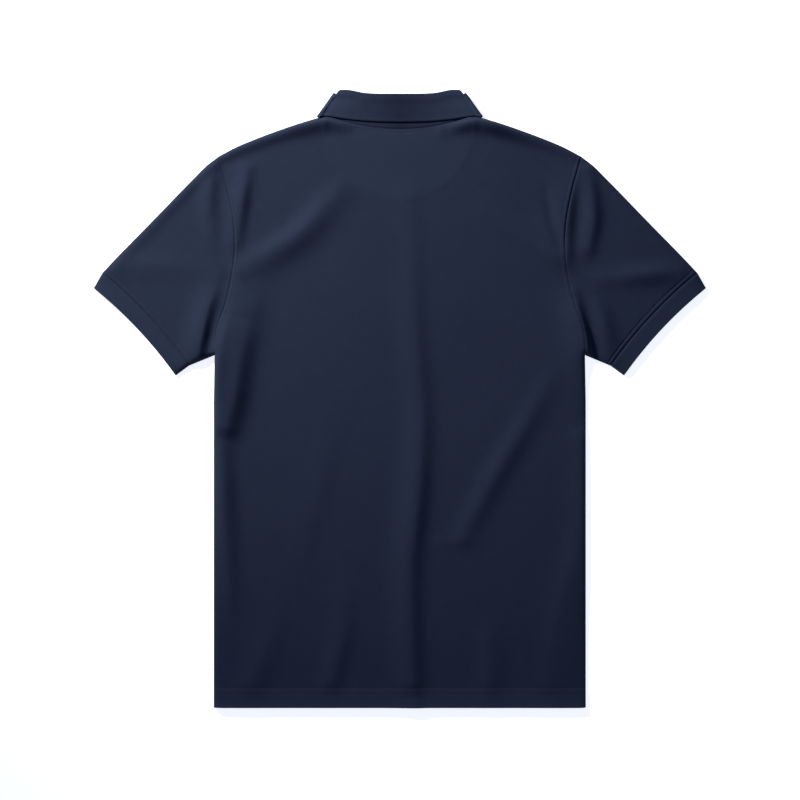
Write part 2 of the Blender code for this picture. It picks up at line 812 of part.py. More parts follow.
def collar_section(seam, fold, edge, core, lean, inside):
    """One section across the strip. lean turns its outer side from up, at the back, to down, at the front.

    The back of the collar rises over the roll along the shoulders.
    """
    seam, fold, edge = (np.array(p, float) for p in (seam, fold, edge))
    beyond = (fold - seam) / np.linalg.norm(fold - seam) + (fold - edge) / np.linalg.norm(fold - edge)
    beyond /= np.linalg.norm(beyond)
    sideways = np.array([beyond[1], -beyond[0]])
    up = math.cos(lean)
    out = np.array([*(sideways * math.sin(lean)), up])
    half = COLLAR / 2 * (1 if inside else -1)
    nose = np.array([*beyond, 0.0])

    def at(point, rise):
        return np.array([*point, core]) + out * rise

    points = [at(seam + (fold - seam) * t, STAND_RISE + half) for t in np.linspace(0, 1, STAND_CELLS + 1)]
    middle = at(fold, (STAND_RISE + FALL_RISE) / 2)
    radius = (FALL_RISE - STAND_RISE) / 2 - half
    for k in range(1, NOSE_TURNS):
        turn = math.pi * k / NOSE_TURNS
        points.append(middle - out * radius * math.cos(turn) + nose * radius * math.sin(turn))
    points += [at(fold + (edge - fold) * t, FALL_RISE - half) for t in np.linspace(0, 1, FALL_CELLS + 1)]
    points = np.array(points)
    x, y = points[:, 0], points[:, 1]
    share = smooth((COLLAR_LIFT[0] - y) / (COLLAR_LIFT[0] - COLLAR_LIFT[1]))
    points[:, 2] += max(up, 0.0) * share * top_roll(x, y)
    return points


def half_collar():
    """Sections of the right half, from centre back round to centre front: lines, core height and lean."""
    seam_back = neck_seam(neck_points(back_neck, back_neck_places))
    seam_back[0, 0] = 0.0
    fold_back = through(FOLD_BACK, len(seam_back))
    fall_back = through(FALL_BACK, len(seam_back))
    seam_front = neck_seam(neck_points(front_neck, [STAND_END, *front_neck_places()[1:]]))[::-1]
    fold_front = pulled(FOLD_BACK[-1], FOLD_FRONT_PULL, FOLD_FRONT_END, len(seam_front))
    fall_front = pulled(LEAF_SIDE, FALL_FRONT_PULL, LEAF_TIP, len(seam_front))
    corner = (seam_back[-1] + seam_front[0]) / 2
    sections = []
    for k in range(len(seam_back) - 1):
        share = 1 - (seam_back[k, 0] / NECK_POINT[0]) ** 2
        core = front_core + (back_core - front_core) * share
        sections.append((seam_back[k], fold_back[k], fall_back[k], core, 0.0))
    for k in range(CREASE_TURNS + 1):
        lean = math.pi * k / CREASE_TURNS
        sections.append((corner, fold_back[-1], fall_back[-1], front_core, lean))
    for k in range(1, len(seam_front)):
        sections.append((seam_front[k], fold_front[k], fall_front[k], front_core, math.pi))
    return sections


def make_collar():
    grids = []
    for inside in (False, True):
        right = np.array([collar_section(*s, inside) for s in half_collar()])
        left = (right * [-1, 1, 1])[:0:-1]
        grids.append(np.concatenate([left, right]))
    add_wall("collar", grids[0], grids[1], RIBBED)


# ---------------------------------------------------------------- half-moon, placket, buttons


def make_half_moon(back):
    """The neck patch lies against the inside of the back, from whose points its heights are taken."""
    steps = np.linspace(-1, 1, MOON_COLUMNS)
    head_x = MOON_TOP_HALF * steps
    head = np.stack([head_x, np.interp(np.abs(head_x), back_neck[:, 0], back_neck[:, 1]) - GAP / 2], axis=-1)
    turn = MOON_SWEEP * steps
    foot = np.stack([MOON_RADIUS * np.sin(turn), MOON_CENTRE_Y - MOON_RADIUS * np.cos(turn)], axis=-1)
    t = np.linspace(0, 1, MOON_ROWS)[:, None, None]
    plan = head * (1 - t) + foot * t
    top = np.array([[height_on(back, x, y) for x, y in line] for line in plan]) - CLOTH - MOON_DROP
    add_wall("half_moon", with_height(plan, top), with_height(plan, top - PATCH), KNIT)


def make_strip(name, rise, thick):
    """A placket strip in the front's slash, from its foot up to the neck seam."""
    foot = PLACKET_Y + GAP
    xs = np.linspace(-PLACKET_HALF, PLACKET_HALF, STRIP_COLUMNS)
    head = np.interp(np.abs(xs), front_neck[:, 0], front_neck[:, 1]) - GAP / 2
    t = np.linspace(0, 1, STRIP_ROWS)[:, None]
    plan = np.stack([np.broadcast_to(xs, (STRIP_ROWS, STRIP_COLUMNS)), foot + t * (head - foot)], axis=-1)
    low = lower_face(plan[..., 0], plan[..., 1]) + rise
    add_wall(name, with_height(plan, low + thick), with_height(plan, low), KNIT)


def make_button(name, y):
    """A dished button with a rounded rim, its face down."""
    bm = bmesh.new()
    rings = []
    for radius, height in BUTTON_PROFILE:
        ring = []
        for k in range(BUTTON_SIDES):
            turn = 2 * math.pi * k / BUTTON_SIDES
            r = radius * BUTTON_RADIUS
            ring.append(bm.verts.new((r * math.cos(turn), y + r * math.sin(turn), height * BUTTON_THICK)))
        rings.append(ring)
    for near, far in zip(rings, rings[1:]):
        for k in range(BUTTON_SIDES):
            m = (k + 1) % BUTTON_SIDES
            bm.faces.new([near[k], near[m], far[m], far[k]])
    bm.faces.new(list(reversed(rings[0])))
    bm.faces.new(rings[-1])
    add_object(name, bm, BUTTON)


# ---------------------------------------------------------------- the shirt

back = make_back()
make_front()
for side, word in ((-1, "left"), (1, "right")):
    make_sleeve("sleeve_" + word, side)
    make_cuff("cuff_" + word, side)
make_collar()
make_half_moon(back)
strip_seat = CLOTH - STRIP  # the outer strip is faced, and stands out of the front by the difference
make_strip("placket_top", strip_seat, STRIP)
make_strip("placket_under", strip_seat + STRIP + GAP, CLOTH)
for number, row in enumerate(BUTTON_ROWS, start=1):
    make_button(f"button_{number}", row)
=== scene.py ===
"""The finish of a navy polo shirt that lies flat on its front: fine cloth shells, seams, stitches, buttons.

Metres, in the frame of the solids: +Y runs to the collar, +Z up, the back layer on top. Every cloth piece is
a closed shell between two grids of points whose heights come from a few fields: lower_face for the front
layer's underside, upper_face for the top of the back layer, and the folds, seams and rolled edges on them.
"""

import math
from collections import namedtuple
from itertools import product

import bmesh
import bpy
import numpy as np
from mathutils import Matrix, Vector


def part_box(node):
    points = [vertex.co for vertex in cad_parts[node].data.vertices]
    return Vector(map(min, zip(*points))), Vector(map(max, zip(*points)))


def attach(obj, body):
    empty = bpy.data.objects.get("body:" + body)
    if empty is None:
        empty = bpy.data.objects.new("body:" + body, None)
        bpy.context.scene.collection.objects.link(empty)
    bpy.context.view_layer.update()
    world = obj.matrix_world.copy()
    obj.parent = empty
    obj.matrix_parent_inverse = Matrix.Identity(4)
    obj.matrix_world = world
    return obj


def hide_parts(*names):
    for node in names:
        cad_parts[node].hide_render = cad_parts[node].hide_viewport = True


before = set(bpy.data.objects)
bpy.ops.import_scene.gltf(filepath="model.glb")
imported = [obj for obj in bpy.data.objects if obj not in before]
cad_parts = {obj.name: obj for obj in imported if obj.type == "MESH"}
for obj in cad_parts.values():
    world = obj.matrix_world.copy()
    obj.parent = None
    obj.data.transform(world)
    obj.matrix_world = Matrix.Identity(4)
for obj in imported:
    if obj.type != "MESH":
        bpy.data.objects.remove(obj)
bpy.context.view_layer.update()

# ---------------------------------------------------------------- sizes of the cut, as the solids have them

CLOTH = 0.0012  # body and sleeve knit
RIB = 0.0016  # cuff rib, one layer
COLLAR = 0.0018  # flat-knit collar
PATCH = 0.0010  # half-moon neck patch
STRIP = 0.0015  # outer placket strip, which is faced
GAP = 0.0003  # between the layers
SEAM_SLIT = 0.0001  # between pieces that are sewn together

HEM_Y = -0.4015  # bottom edge of the body
HEM_DEPTH = 0.0235  # turned-up hem
HEM_TURN = 0.0008  # what the turned-up cloth adds on the inside
HEM_TURN_STEP = 0.0020
BODY_HALF = 0.2420

UNDERARM = (0.2410, 0.0567)
SIDE_TOP = -0.0033
SHOULDER_TIP = (0.2360, 0.3150)
NECK_POINT = (0.0970, 0.3680)
BACK_NECK_Y = 0.3500
FRONT_NECK_Y = 0.2830
FRONT_NECK_PULL = (0.0900, 0.2830)

CUFF_TOP = (0.3868, 0.1640)
CUFF_FOOT = (0.2743, 0.0430)
CUFF_TIP = (0.3983, 0.1440)
CUFF_CORNER = (0.2915, 0.0303)
CUFF_BOW = 0.0055

PLACKET_HALF = 0.0159
PLACKET_Y = 0.1330

MOON_RADIUS = 0.0990
MOON_CENTRE_Y = 0.3550
MOON_TOP_HALF = 0.0840
MOON_SWEEP = math.radians(83)

LOFT = 0.0030  # how far the back layer stands above the front one, away from the edges
LOFT_REACH = 0.0060
SIDE_REACH = 0.0032  # it comes down within less at the side seams
FOLD_REACH = 0.0018  # folds keep their height up to nearer the edges
LOFT_ROUND = 0.0008  # how softly a trough comes down on the front layer
HUMP = 0.0029  # the front rests on the collar leaves and buttons
HUMP_REACH = 0.0500
SOFT_HUMP_REACH = 0.1600  # the back layer bridges that hump and comes down over a longer way

LEAF_SIDE = (0.1046, 0.3646)
LEAF_TIP = (0.0520, 0.2720)
FOLD_BACK = ((0.0, 0.3938), (0.0450, 0.3950), (0.0735, 0.3994), (0.0795, 0.3988), (0.0835, 0.3942))
FALL_BACK = ((0.0, 0.3586), (0.0450, 0.3602), (0.0720, 0.3630), (0.0900, 0.3657), (0.0990, 0.3664), LEAF_SIDE)
FOLD_FRONT_PULL = (0.0590, 0.3270)
FOLD_FRONT_END = (0.0030, 0.3070)
FALL_FRONT_PULL = (0.0900, 0.3130)
STAND_END = 0.0010
STAND_RISE = 0.00115
FALL_RISE = 0.00340
LEAF_SINK = 0.0002
HUMP_SIDE = ((0.1180, 0.3500), (0.1250, 0.4100))

SHOULDER_LINE = (NECK_POINT, (0.1407, 0.3546), (0.1840, 0.3392), (0.2150, 0.3262), SHOULDER_TIP)
SLEEVE_LINE = (SHOULDER_TIP, (0.2508, 0.3035), (0.2699, 0.2846), (0.3230, 0.2300), (0.3764, 0.1752), CUFF_TOP)
ARMHOLE = (SHOULDER_TIP, (0.2240, 0.2720), (0.2155, 0.2280), (0.2142, 0.1950), (0.2180, 0.1620),
           (0.2265, 0.1240), (0.2382, 0.0880), UNDERARM)

# ---------------------------------------------------------------- folds

# A fold follows its crest, given as (x, y, height), from its upper end. lit is its width on the side towards
# -X, where the light comes from, and shade its width on the other side. start and end are how soon it dies
# away past its two ends.
Fold = namedtuple("Fold", "crest lit shade start end")
BACK_FOLDS = (
    # left shoulder blade down to the armhole
    Fold(((-0.080, 0.268, 0.0034), (-0.134, 0.2115, 0.0088), (-0.211, 0.165, 0.0034)),
         0.0150, 0.0205, 0.016, 0.008),
    # beside the left armhole
    Fold(((-0.198, 0.298, 0.0030), (-0.204, 0.262, 0.0066), (-0.211, 0.212, 0.0042)),
         0.014, 0.0092, 0.008, 0.022),
    # long one down the middle, to the hem
    Fold(((0.014, 0.262, 0.0012), (0.017, 0.200, 0.0018), (0.017, 0.128, 0.0032), (0.023, 0.045, 0.0044),
          (0.028, -0.020, 0.0054), (0.027, -0.060, 0.0064), (0.023, -0.125, 0.0080), (0.014, -0.210, 0.0076),
          (0.014, -0.295, 0.0073), (0.018, -0.399, 0.0068)), 0.0200, 0.0138, 0.020, 0.030),
    # slanting one on the right of the waist
    Fold(((0.205, 0.042, 0.0006), (0.160, -0.038, 0.0042), (0.130, -0.088, 0.0052), (0.0985, -0.147, 0.0042),
          (0.084, -0.176, 0.0030)), 0.0145, 0.0155, 0.040, 0.016),
    # short one across, below its end
    Fold(((0.046, -0.190, 0.0004), (0.066, -0.186, 0.0009), (0.096, -0.188, 0.0004)),
         0.008, 0.010, 0.014, 0.018),
    # along the left side seam, with a pinch half way down
    Fold(((-0.196, 0.104, 0.0042), (-0.209, 0.050, 0.0108), (-0.2165, 0.002, 0.0130),
          (-0.2255, -0.034, 0.0110)), 0.038, 0.0172, 0.045, 0.017),
    Fold(((-0.233, 0.088, 0.0030), (-0.2385, 0.050, 0.0060), (-0.2395, 0.018, 0.0040)),
         0.006, 0.0130, 0.014, 0.020),
    Fold(((-0.230, -0.070, 0.0058), (-0.228, -0.130, 0.0070), (-0.225, -0.184, 0.0056),
          (-0.222, -0.232, 0.0036)), 0.012, 0.013, 0.020, 0.045),
    # right side seam, then inwards to the hem
    Fold(((0.2390, -0.046, 0.0030), (0.2405, -0.110, 0.0036), (0.2365, -0.180, 0.0042),
          (0.2210, -0.235, 0.0042), (0.2080, -0.290, 0.0030), (0.1940, -0.372, 0.0024)),
         0.018, 0.034, 0.008, 0.040),
    # soft one left of the middle
    Fold(((-0.093, -0.054, 0.0010), (-0.107, -0.120, 0.0018), (-0.125, -0.195, 0.0012)),
         0.024, 0.016, 0.045, 0.030),
    # rising from the hem
    Fold(((-0.073, -0.268, 0.0016), (-0.076, -0.314, 0.0036), (-0.089, -0.366, 0.0038)),
         0.016, 0.014, 0.025, 0.025),
    Fold(((-0.163, -0.292, 0.0012), (-0.178, -0.336, 0.0032), (-0.193, -0.376, 0.0040)),
         0.020, 0.018, 0.030, 0.025),
    Fold(((0.115, -0.318, 0.0022), (0.115, -0.376, 0.0036)), 0.013, 0.018, 0.025, 0.025),
    # the body's side of the right armhole, from the shoulder down
    Fold(((0.230, 0.298, 0.0012), (0.2215, 0.262, 0.0050), (0.2175, 0.232, 0.0064), (0.2165, 0.196, 0.0046)),
         0.028, 0.0092, 0.010, 0.020),
    # right shoulder blade: a low ridge, and a crease from the shoulder into it
    Fold(((0.214, 0.176, 0.0015), (0.167, 0.204, 0.0020), (0.112, 0.235, 0.0012)),
         0.016, 0.009, 0.015, 0.025),
    Fold(((0.190, 0.266, -0.0016), (0.197, 0.236, -0.0028), (0.206, 0.200, -0.0018)),
         0.0075, 0.0075, 0.010, 0.012),
)
SLEEVE_FOLDS = (
    # left: below the shoulder, into the underarm, and across
    Fold(((-0.243, 0.298, 0.0028), (-0.247, 0.270, 0.0050), (-0.246, 0.228, 0.0026)),
         0.013, 0.0105, 0.008, 0.030),
    Fold(((-0.240, 0.148, 0.0018), (-0.250, 0.114, 0.0078), (-0.256, 0.086, 0.0100),
          (-0.2600, 0.067, 0.0080), (-0.2640, 0.048, 0.0042)), 0.018, 0.0088, 0.028, 0.015),
    Fold(((-0.262, 0.168, 0.0010), (-0.315, 0.172, 0.0024), (-0.362, 0.170, 0.0024)),
         0.015, 0.017, 0.025, 0.012),
    # the body's side of the left armhole stands above the sleeve
    Fold(((-0.211, 0.160, 0.0008), (-0.2165, 0.122, 0.0032), (-0.2240, 0.088, 0.0044),
          (-0.231, 0.060, 0.0030)), 0.009, 0.028, 0.020, 0.040),
    # right: below the shoulder, across, and into the underarm
    Fold(((0.244, 0.298, 0.0035), (0.249, 0.262, 0.0064), (0.251, 0.236, 0.0070), (0.245, 0.198, 0.0046)),
         0.013, 0.0105, 0.006, 0.014),
    Fold(((0.360, 0.164, 0.0030), (0.325, 0.162, 0.0064), (0.272, 0.157, 0.0026)),
         0.012, 0.0135, 0.012, 0.025),
    Fold(((0.252, 0.134, 0.0012), (0.260, 0.112, 0.0042), (0.266, 0.092, 0.0054), (0.2715, 0.070, 0.0034),
          (0.275, 0.050, 0.0012)), 0.011, 0.0125, 0.012, 0.008),
    # and so does the body's side of the right one
    Fold(((0.2268, 0.133, 0.0034), (0.2322, 0.109, 0.0090), (0.2385, 0.085, 0.0106), (0.2420, 0.066, 0.0100),
          (0.240, 0.036, 0.0040), (0.240, 0.000, 0.0012)), 0.022, 0.0078, 0.012, 0.020),
)
# added to the roll along the right half of the neck seam and the right shoulder
NECK_FOLDS = (
    Fold(((0.056, 0.3500, 0.0020), (0.078, 0.3552, 0.0026), (0.097, 0.3598, 0.0030), (0.119, 0.3553, 0.0058),
          (0.141, 0.3475, 0.0042), (0.168, 0.3375, 0.0010)), 0.0098, 0.0055, 0.010, 0.012),
)
# On the front layer they stand up from the surface that the shirt lies on.
FRONT_FOLDS = (
    Fold(((-0.150, 0.205, 0.0006), (-0.178, 0.150, 0.0015), (-0.212, 0.098, 0.0012)),
         0.012, 0.010, 0.030, 0.015),
    Fold(((0.128, 0.190, 0.0006), (0.168, 0.132, 0.0016), (0.214, 0.084, 0.0011)),
         0.011, 0.013, 0.030, 0.015),
    Fold(((0.004, 0.100, 0.0014), (-0.008, 0.020, 0.0012), (-0.014, -0.085, 0.0005)),
         0.014, 0.011, 0.012, 0.050),
    Fold(((-0.210, 0.010, 0.0012), (-0.150, -0.052, 0.0014), (-0.070, -0.104, 0.0005)),
         0.013, 0.010, 0.015, 0.040),
    Fold(((0.212, -0.060, 0.0013), (0.160, -0.110, 0.0010), (0.118, -0.168, 0.0004)),
         0.010, 0.014, 0.015, 0.035),
    Fold(((0.070, -0.250, 0.0004), (0.082, -0.320, 0.0012), (0.078, -0.372, 0.0010)),
         0.014, 0.012, 0.040, 0.020),
    Fold(((-0.120, -0.270, 0.0004), (-0.106, -0.330, 0.0011), (-0.112, -0.374, 0.0009)),
         0.012, 0.013, 0.040, 0.020),
)
CREST_POINTS = 8  # a crest is followed by this many points for each one given
FOLD_SPAN = 2.6  # a fold is nothing past this many of its widths

# ---------------------------------------------------------------- seams and edges

Ridge = namedtuple("Ridge", "height at width")  # at this distance from a line or an edge
SEAM_DIP = Ridge(-0.00085, 0, 0.0011)  # the cloth dips at a seam
SEAM_RIDGE = Ridge(0.00022, 0.0032, 0.0020)  # the seam allowance under the cloth raises it on one side
SEAM_REACH = 0.0040  # seams are flatter than this near a closed edge
STITCH_AT = 0.0055  # the topstitch lies this far from the seam
STITCH_DIP = 0.00022
STITCH_DIP_WIDTH = 0.0009
STITCH_SINK = 0.00045  # and deeper where the cloth rests on the surface, so that they don't stand out
TROUGH_POINTS = 31  # along each armhole's stitches, where only the trough follows them
PUCKER = 0.00005  # unevenness along a sewn line
PUCKER_LENGTH = 0.0125
PUCKER_WIDTH = 0.0070
PUCKER_WAVES = ((1.0, 1.0, 0.0), (0.6, 0.63, 1.1), (0.5, 1.71, 2.3))  # share, rate and start of each
FADED_SEAM_TOP = 0.271  # the left armhole seam is flatter above here
FADED_SEAM_SPAN = 0.030
FADED_SEAM_SHARE = 0.35
DEEP_SEAM_FOOT = 0.200  # and the right one is deeper above here
DEEP_SEAM_SPAN = 0.040
DEEP_SEAM_SHARE = 0.95
LOW_SEAM_SHARE = 0.60
CUFF_SEAM_SHARE = {-1: 1.0, 1: 1.3}  # the left and the right one
CUFF_STITCH_SHARE = 3.2

HEM_STEP = 0.00100  # the hem stands this much above the single cloth
HEM_STEP_WIDTH = 0.0018
HEM_ROWS = (0.0180, 0.0224)  # the two rows of hem stitches, above the edge
NECK_RIDGE = Ridge(0.00060, 0.0030, 0.0022)
NECK_RIDGE_START = 0.020  # it starts this far from the middle
NECK_RIDGE_RISE = 0.050
NECK_STITCH_AT = 0.0056
MOON_STEP = 0.00050  # the patch under the back raises it
MOON_STEP_WIDTH = 0.0100
HEM_LIFT = 0.0020  # the hem is stiffer than the cloth above it and lies higher
HEM_LIFT_REACH = 0.0500
HEM_FOLD_SHARE = 0.35  # and flattens the folds that run into it
# The rolled top edge follows this line, which cuts the corner at the neck point, and then the sleeve's edge.
ROLL_LINE = ((0.0580, 0.3552), (0.0770, 0.3598), (0.0970, 0.3646), (0.1190, 0.3602), *SHOULDER_LINE[1:])
# Each of the next three is given where the roll starts and at the neck point, shoulder tip and cuff.
TOP_ROLL_HEIGHTS = (0.0000, 0.0098, 0.0042, 0.0022)
TOP_ROLL_PLACES = (0.0045, 0.0048, 0.0030, 0.0035)  # where the roll is highest, from that line
TOP_ROLL_INNER = (0.0080, 0.0118, 0.0078, 0.0115)  # how wide it is away from the edge
TOP_ROLL_OUTER = 0.0045  # and towards it
COLLAR_LIFT = (0.3920, 0.3740)  # the collar rises over it fully below the second y, and not above the first

FINE = 61  # points along each curve of the cut
ROLL_POINTS = 37
SLEEVE_POINTS = 19
SHOULDER_EVERY = 4  # the closed edges take every fourth point of the shoulder

# ---------------------------------------------------------------- curves in the plane


def through(points, count):
    """A smooth curve through the points: cubic pieces whose slopes go by the distances between them."""
    knots = np.array(points, float)
    along = np.concatenate([[0], np.cumsum(np.linalg.norm(np.diff(knots[:, :2], axis=0), axis=1))])
    steps = np.diff(along)[:, None]
    rises = np.diff(knots, axis=0) / steps
    slopes = np.empty_like(knots)
    slopes[0], slopes[-1] = rises[0], rises[-1]
    slopes[1:-1] = (rises[:-1] * steps[1:] + rises[1:] * steps[:-1]) / (steps[:-1] + steps[1:])
    at = np.linspace(0, along[-1], count) if np.isscalar(count) else np.asarray(count) * along[-1]
    i = np.clip(np.searchsorted(along, at, side="right") - 1, 0, len(steps) - 1)
    h = steps[i]
    t = ((at - along[i])[:, None]) / h
    return (
        knots[i] * (2 * t**3 - 3 * t**2 + 1)
        + slopes[i] * h * (t**3 - 2 * t**2 + t)
        + knots[i + 1] * (3 * t**2 - 2 * t**3)
        + slopes[i + 1] * h * (t**3 - t**2)
    )


def shares(count):
    """Even shares of a curve, or the shares themselves."""
    return np.linspace(0, 1, count) if np.isscalar(count) else np.asarray(count)


def pulled(start, pull, end, count):
    """A quadratic curve from start to end, drawn towards pull."""
    t = shares(count)[:, None]
    return (1 - t) ** 2 * np.array(start) + 2 * t * (1 - t) * np.array(pull) + t**2 * np.array(end)


def bowed(start, end, bow, count):
    """A shallow curve from start to end whose middle stands bow to the right of the way there."""
    start, end = np.array(start), np.array(end)
    way = (end - start) / np.linalg.norm(end - start)
    t = shares(count)[:, None]
    return start + t * (end - start) + 4 * t * (1 - t) * bow * np.array([way[1], -way[0]])


def smooth(t):
    t = np.clip(t, 0, 1)
    return t * t * (3 - 2 * t)


def bell(t):
    return np.exp(-(t**2))


def ridge(distance, shape):
    return shape.height * bell((distance - shape.at) / shape.width)


def mirrored(points, side):
    return np.array(points, float) * [side, 1]


def lengths(line):
    """Distance along a line of points, from its start."""
    return np.concatenate([[0], np.cumsum(np.linalg.norm(np.diff(line, axis=0), axis=1))])


def beside(line, distance):
    """A line in the plane moved sideways to its left, by one distance or by one for each point."""
    tangent = np.gradient(line, axis=0)
    normal = np.stack([-tangent[:, 1], tangent[:, 0]], axis=-1)
    return line + normal / np.linalg.norm(normal, axis=1)[:, None] * np.reshape(distance, (-1, 1))


def at_x(xs, curve):
    """Points at these x on half a neckline or on its mirror image."""
    return np.stack([xs, np.interp(np.abs(xs), curve[:, 0], curve[:, 1])], axis=-1)


armhole = through(ARMHOLE, FINE)
shoulder = through(SHOULDER_LINE, FINE)
cuff_seam = bowed(CUFF_TOP, CUFF_FOOT, CUFF_BOW, FINE)
back_neck = pulled((0, BACK_NECK_Y), (NECK_POINT[0] / 2, BACK_NECK_Y), NECK_POINT, FINE)
front_neck = pulled((0, FRONT_NECK_Y), FRONT_NECK_PULL, NECK_POINT, FINE)
whole_back_neck = np.concatenate([mirrored(back_neck[:0:-1], -1), back_neck])
roll_line = np.concatenate([through(ROLL_LINE, ROLL_POINTS), through(SLEEVE_LINE, SLEEVE_POINTS)[1:]])
roll_places = (ROLL_LINE[0][0], NECK_POINT[0], SHOULDER_TIP[0], CUFF_TOP[0])
roll_stations = np.interp(roll_places, roll_line[:, 0], lengths(roll_line))

# ---------------------------------------------------------------- heights


def from_line(x, y, line):
    """Distance from each point to a line of points, the side it lies on, and how far along it is."""
    best = np.full(x.shape, np.inf)
    side, along = np.zeros(x.shape), np.zeros(x.shape)
    done = 0.0
    last = len(line) - 2
    for k in range(last + 1):
        a, b = line[k], line[k + 1]
        length = math.hypot(*(b - a))
        dx, dy = (b - a) / length
        raw = (x - a[0]) * dx + (y - a[1]) * dy
        t = np.clip(raw, 0, length)
        distance = np.hypot(x - a[0] - t * dx, y - a[1] - t * dy)
        near = distance < best
        best = np.where(near, distance, best)
        side = np.where(near, np.sign(dx * (y - a[1]) - dy * (x - a[0])), side)
        beyond = np.where(k == 0, np.minimum(raw, 0), 0) + np.where(k == last, np.maximum(raw - length, 0), 0)
        along = np.where(near, done + t + beyond, along)
        done += length
    return best, side, along, done


def closed_edges():
    """The outlines where the two layers are joined, each with the side on which the cloth lies."""
    lower = [(BODY_HALF, HEM_Y), (BODY_HALF, SIDE_TOP), UNDERARM, CUFF_FOOT, CUFF_CORNER]
    upper = [*shoulder[::SHOULDER_EVERY], *through(SLEEVE_LINE, SLEEVE_POINTS)[1:], CUFF_TIP]
    return [(mirrored(line, s), s * turn) for line, turn in ((lower, 1), (upper, -1)) for s in (1, -1)]


EDGES = closed_edges()


def edge_distance(x, y):
    return np.min([from_line(x, y, line)[0] for line, _ in EDGES], axis=0)


def inwards(x, y):
    """Unit vectors away from the nearest closed edge."""
    best = np.full(x.shape, np.inf)
    normal = np.zeros((*x.shape, 2))
    for line, side in EDGES:
        for a, b in zip(line, line[1:]):
            length = math.hypot(*(b - a))
            dx, dy = (b - a) / length
            t = np.clip((x - a[0]) * dx + (y - a[1]) * dy, 0, length)
            distance = np.hypot(x - a[0] - t * dx, y - a[1] - t * dy)
            near = distance < best
            best = np.where(near, distance, best)
            normal[near] = (-dy * side, dx * side)
    return normal


def hump_distance(x, y):
    """How far a point lies outside the part of the front that rests on the leaves and the buttons."""
    line = np.array([(0, PLACKET_Y), (PLACKET_HALF, PLACKET_Y), LEAF_TIP, *HUMP_SIDE])
    distance, side, _, _ = from_line(np.abs(x), y, line)
    return np.where(side > 0, 0, distance)


def lower_face(x, y):
    """Underside of the front layer."""
    return HUMP * (1 - smooth(hump_distance(x, y) / HUMP_REACH))


def fold_height(x, y, folds):
    total = np.zeros(x.shape)
    for fold in folds:
        crest = through(fold.crest, CREST_POINTS * len(fold.crest))
        reach = FOLD_SPAN * max(fold.lit, fold.shade, fold.start, fold.end)
        low, high = crest[:, :2].min(axis=0) - reach, crest[:, :2].max(axis=0) + reach
        near = (x > low[0]) & (x < high[0]) & (y > low[1]) & (y < high[1])
        if not near.any():
            continue
        distance, side, along, length = from_line(x[near], y[near], crest[:, :2])
        before, after = np.maximum(-along, 0), np.maximum(along - length, 0)
        aside = np.sqrt(np.maximum(distance**2 - (before + after) ** 2, 0))
        height = np.interp(along, lengths(crest[:, :2]), crest[:, 2])
        width = np.where(side > 0, fold.shade, fold.lit)
        total[near] += height * bell(aside / width) * bell(before / fold.start) * bell(after / fold.end)
    return total


def pucker(along, distance):
    """Unevenness beside a sewn line."""
    turn = 2 * math.pi * along / PUCKER_LENGTH
    wave = sum(share * np.sin(rate * turn + start) for share, rate, start in PUCKER_WAVES)
    return PUCKER * wave * bell(distance / PUCKER_WIDTH)


def seam_relief(x, y, line, ridge_side, strength, drawn=1.0):
    """Dip at a seam, the raised allowance on one side of it and the topstitch beyond, drawn in by so much."""
    distance, side, along, _ = from_line(x, y, line)
    beyond = np.where(side * ridge_side > 0, distance, -distance)
    stitch = -STITCH_DIP * drawn * bell((beyond - STITCH_AT) / STITCH_DIP_WIDTH)
    sewn = ridge(distance, SEAM_DIP) + ridge(beyond, SEAM_RIDGE) + stitch
    return (sewn + pucker(along, distance)) * strength


def seams(x, y):
    """The armhole and cuff seams, as they show on both layers."""
    faded = FADED_SEAM_SHARE + (1 - FADED_SEAM_SHARE) * smooth((FADED_SEAM_TOP - y) / FADED_SEAM_SPAN + 0.5)
    deep = LOW_SEAM_SHARE + DEEP_SEAM_SHARE * smooth((y - DEEP_SEAM_FOOT) / DEEP_SEAM_SPAN + 0.5)
    total = np.zeros(x.shape)
    for s, strength in ((1, deep), (-1, faded)):
        total += seam_relief(x, y, mirrored(armhole, s), -s, strength)
        total += seam_relief(x, y, mirrored(cuff_seam, s), -s, CUFF_SEAM_SHARE[s], CUFF_STITCH_SHARE)
    return total


def hem_relief(x, y):
    """The doubled hem, a step at its upper edge, and two rows of stitches that draw the cloth in."""
    above = y - HEM_Y
    step = HEM_STEP * smooth((HEM_DEPTH + HEM_STEP_WIDTH - above) / HEM_STEP_WIDTH)
    rows = sum(bell((above - row) / STITCH_DIP_WIDTH) for row in HEM_ROWS)
    middle = sum(HEM_ROWS) / 2
    return step - STITCH_DIP * rows + pucker(x, above - middle)


def neck_relief(x, y):
    """The seam allowance and the topstitch along the back neck."""
    distance, _, along, _ = from_line(x, y, whole_back_neck)
    ends = smooth((np.abs(x) - NECK_RIDGE_START) / NECK_RIDGE_RISE)
    stitch = STITCH_DIP * bell((distance - NECK_STITCH_AT) / STITCH_DIP_WIDTH)
    return ridge(distance, NECK_RIDGE) * ends - stitch + pucker(along, distance)


def moon_inside(x, y):
    """Distance inside the rim of the half-moon patch."""
    return MOON_RADIUS - np.hypot(x, y - MOON_CENTRE_Y)


def top_roll(x, y):
    """A roll inside the ends of the neck seam, the shoulder seams and the sleeves' top edges."""
    distance, side, along, _ = from_line(np.abs(x), y, roll_line)
    height = np.interp(along, roll_stations, TOP_ROLL_HEIGHTS)
    beyond = -side * distance - np.interp(along, roll_stations, TOP_ROLL_PLACES)
    width = np.where(beyond < 0, TOP_ROLL_OUTER, np.interp(along, roll_stations, TOP_ROLL_INNER))
    return height * bell(beyond / width) + fold_height(x, y, NECK_FOLDS)


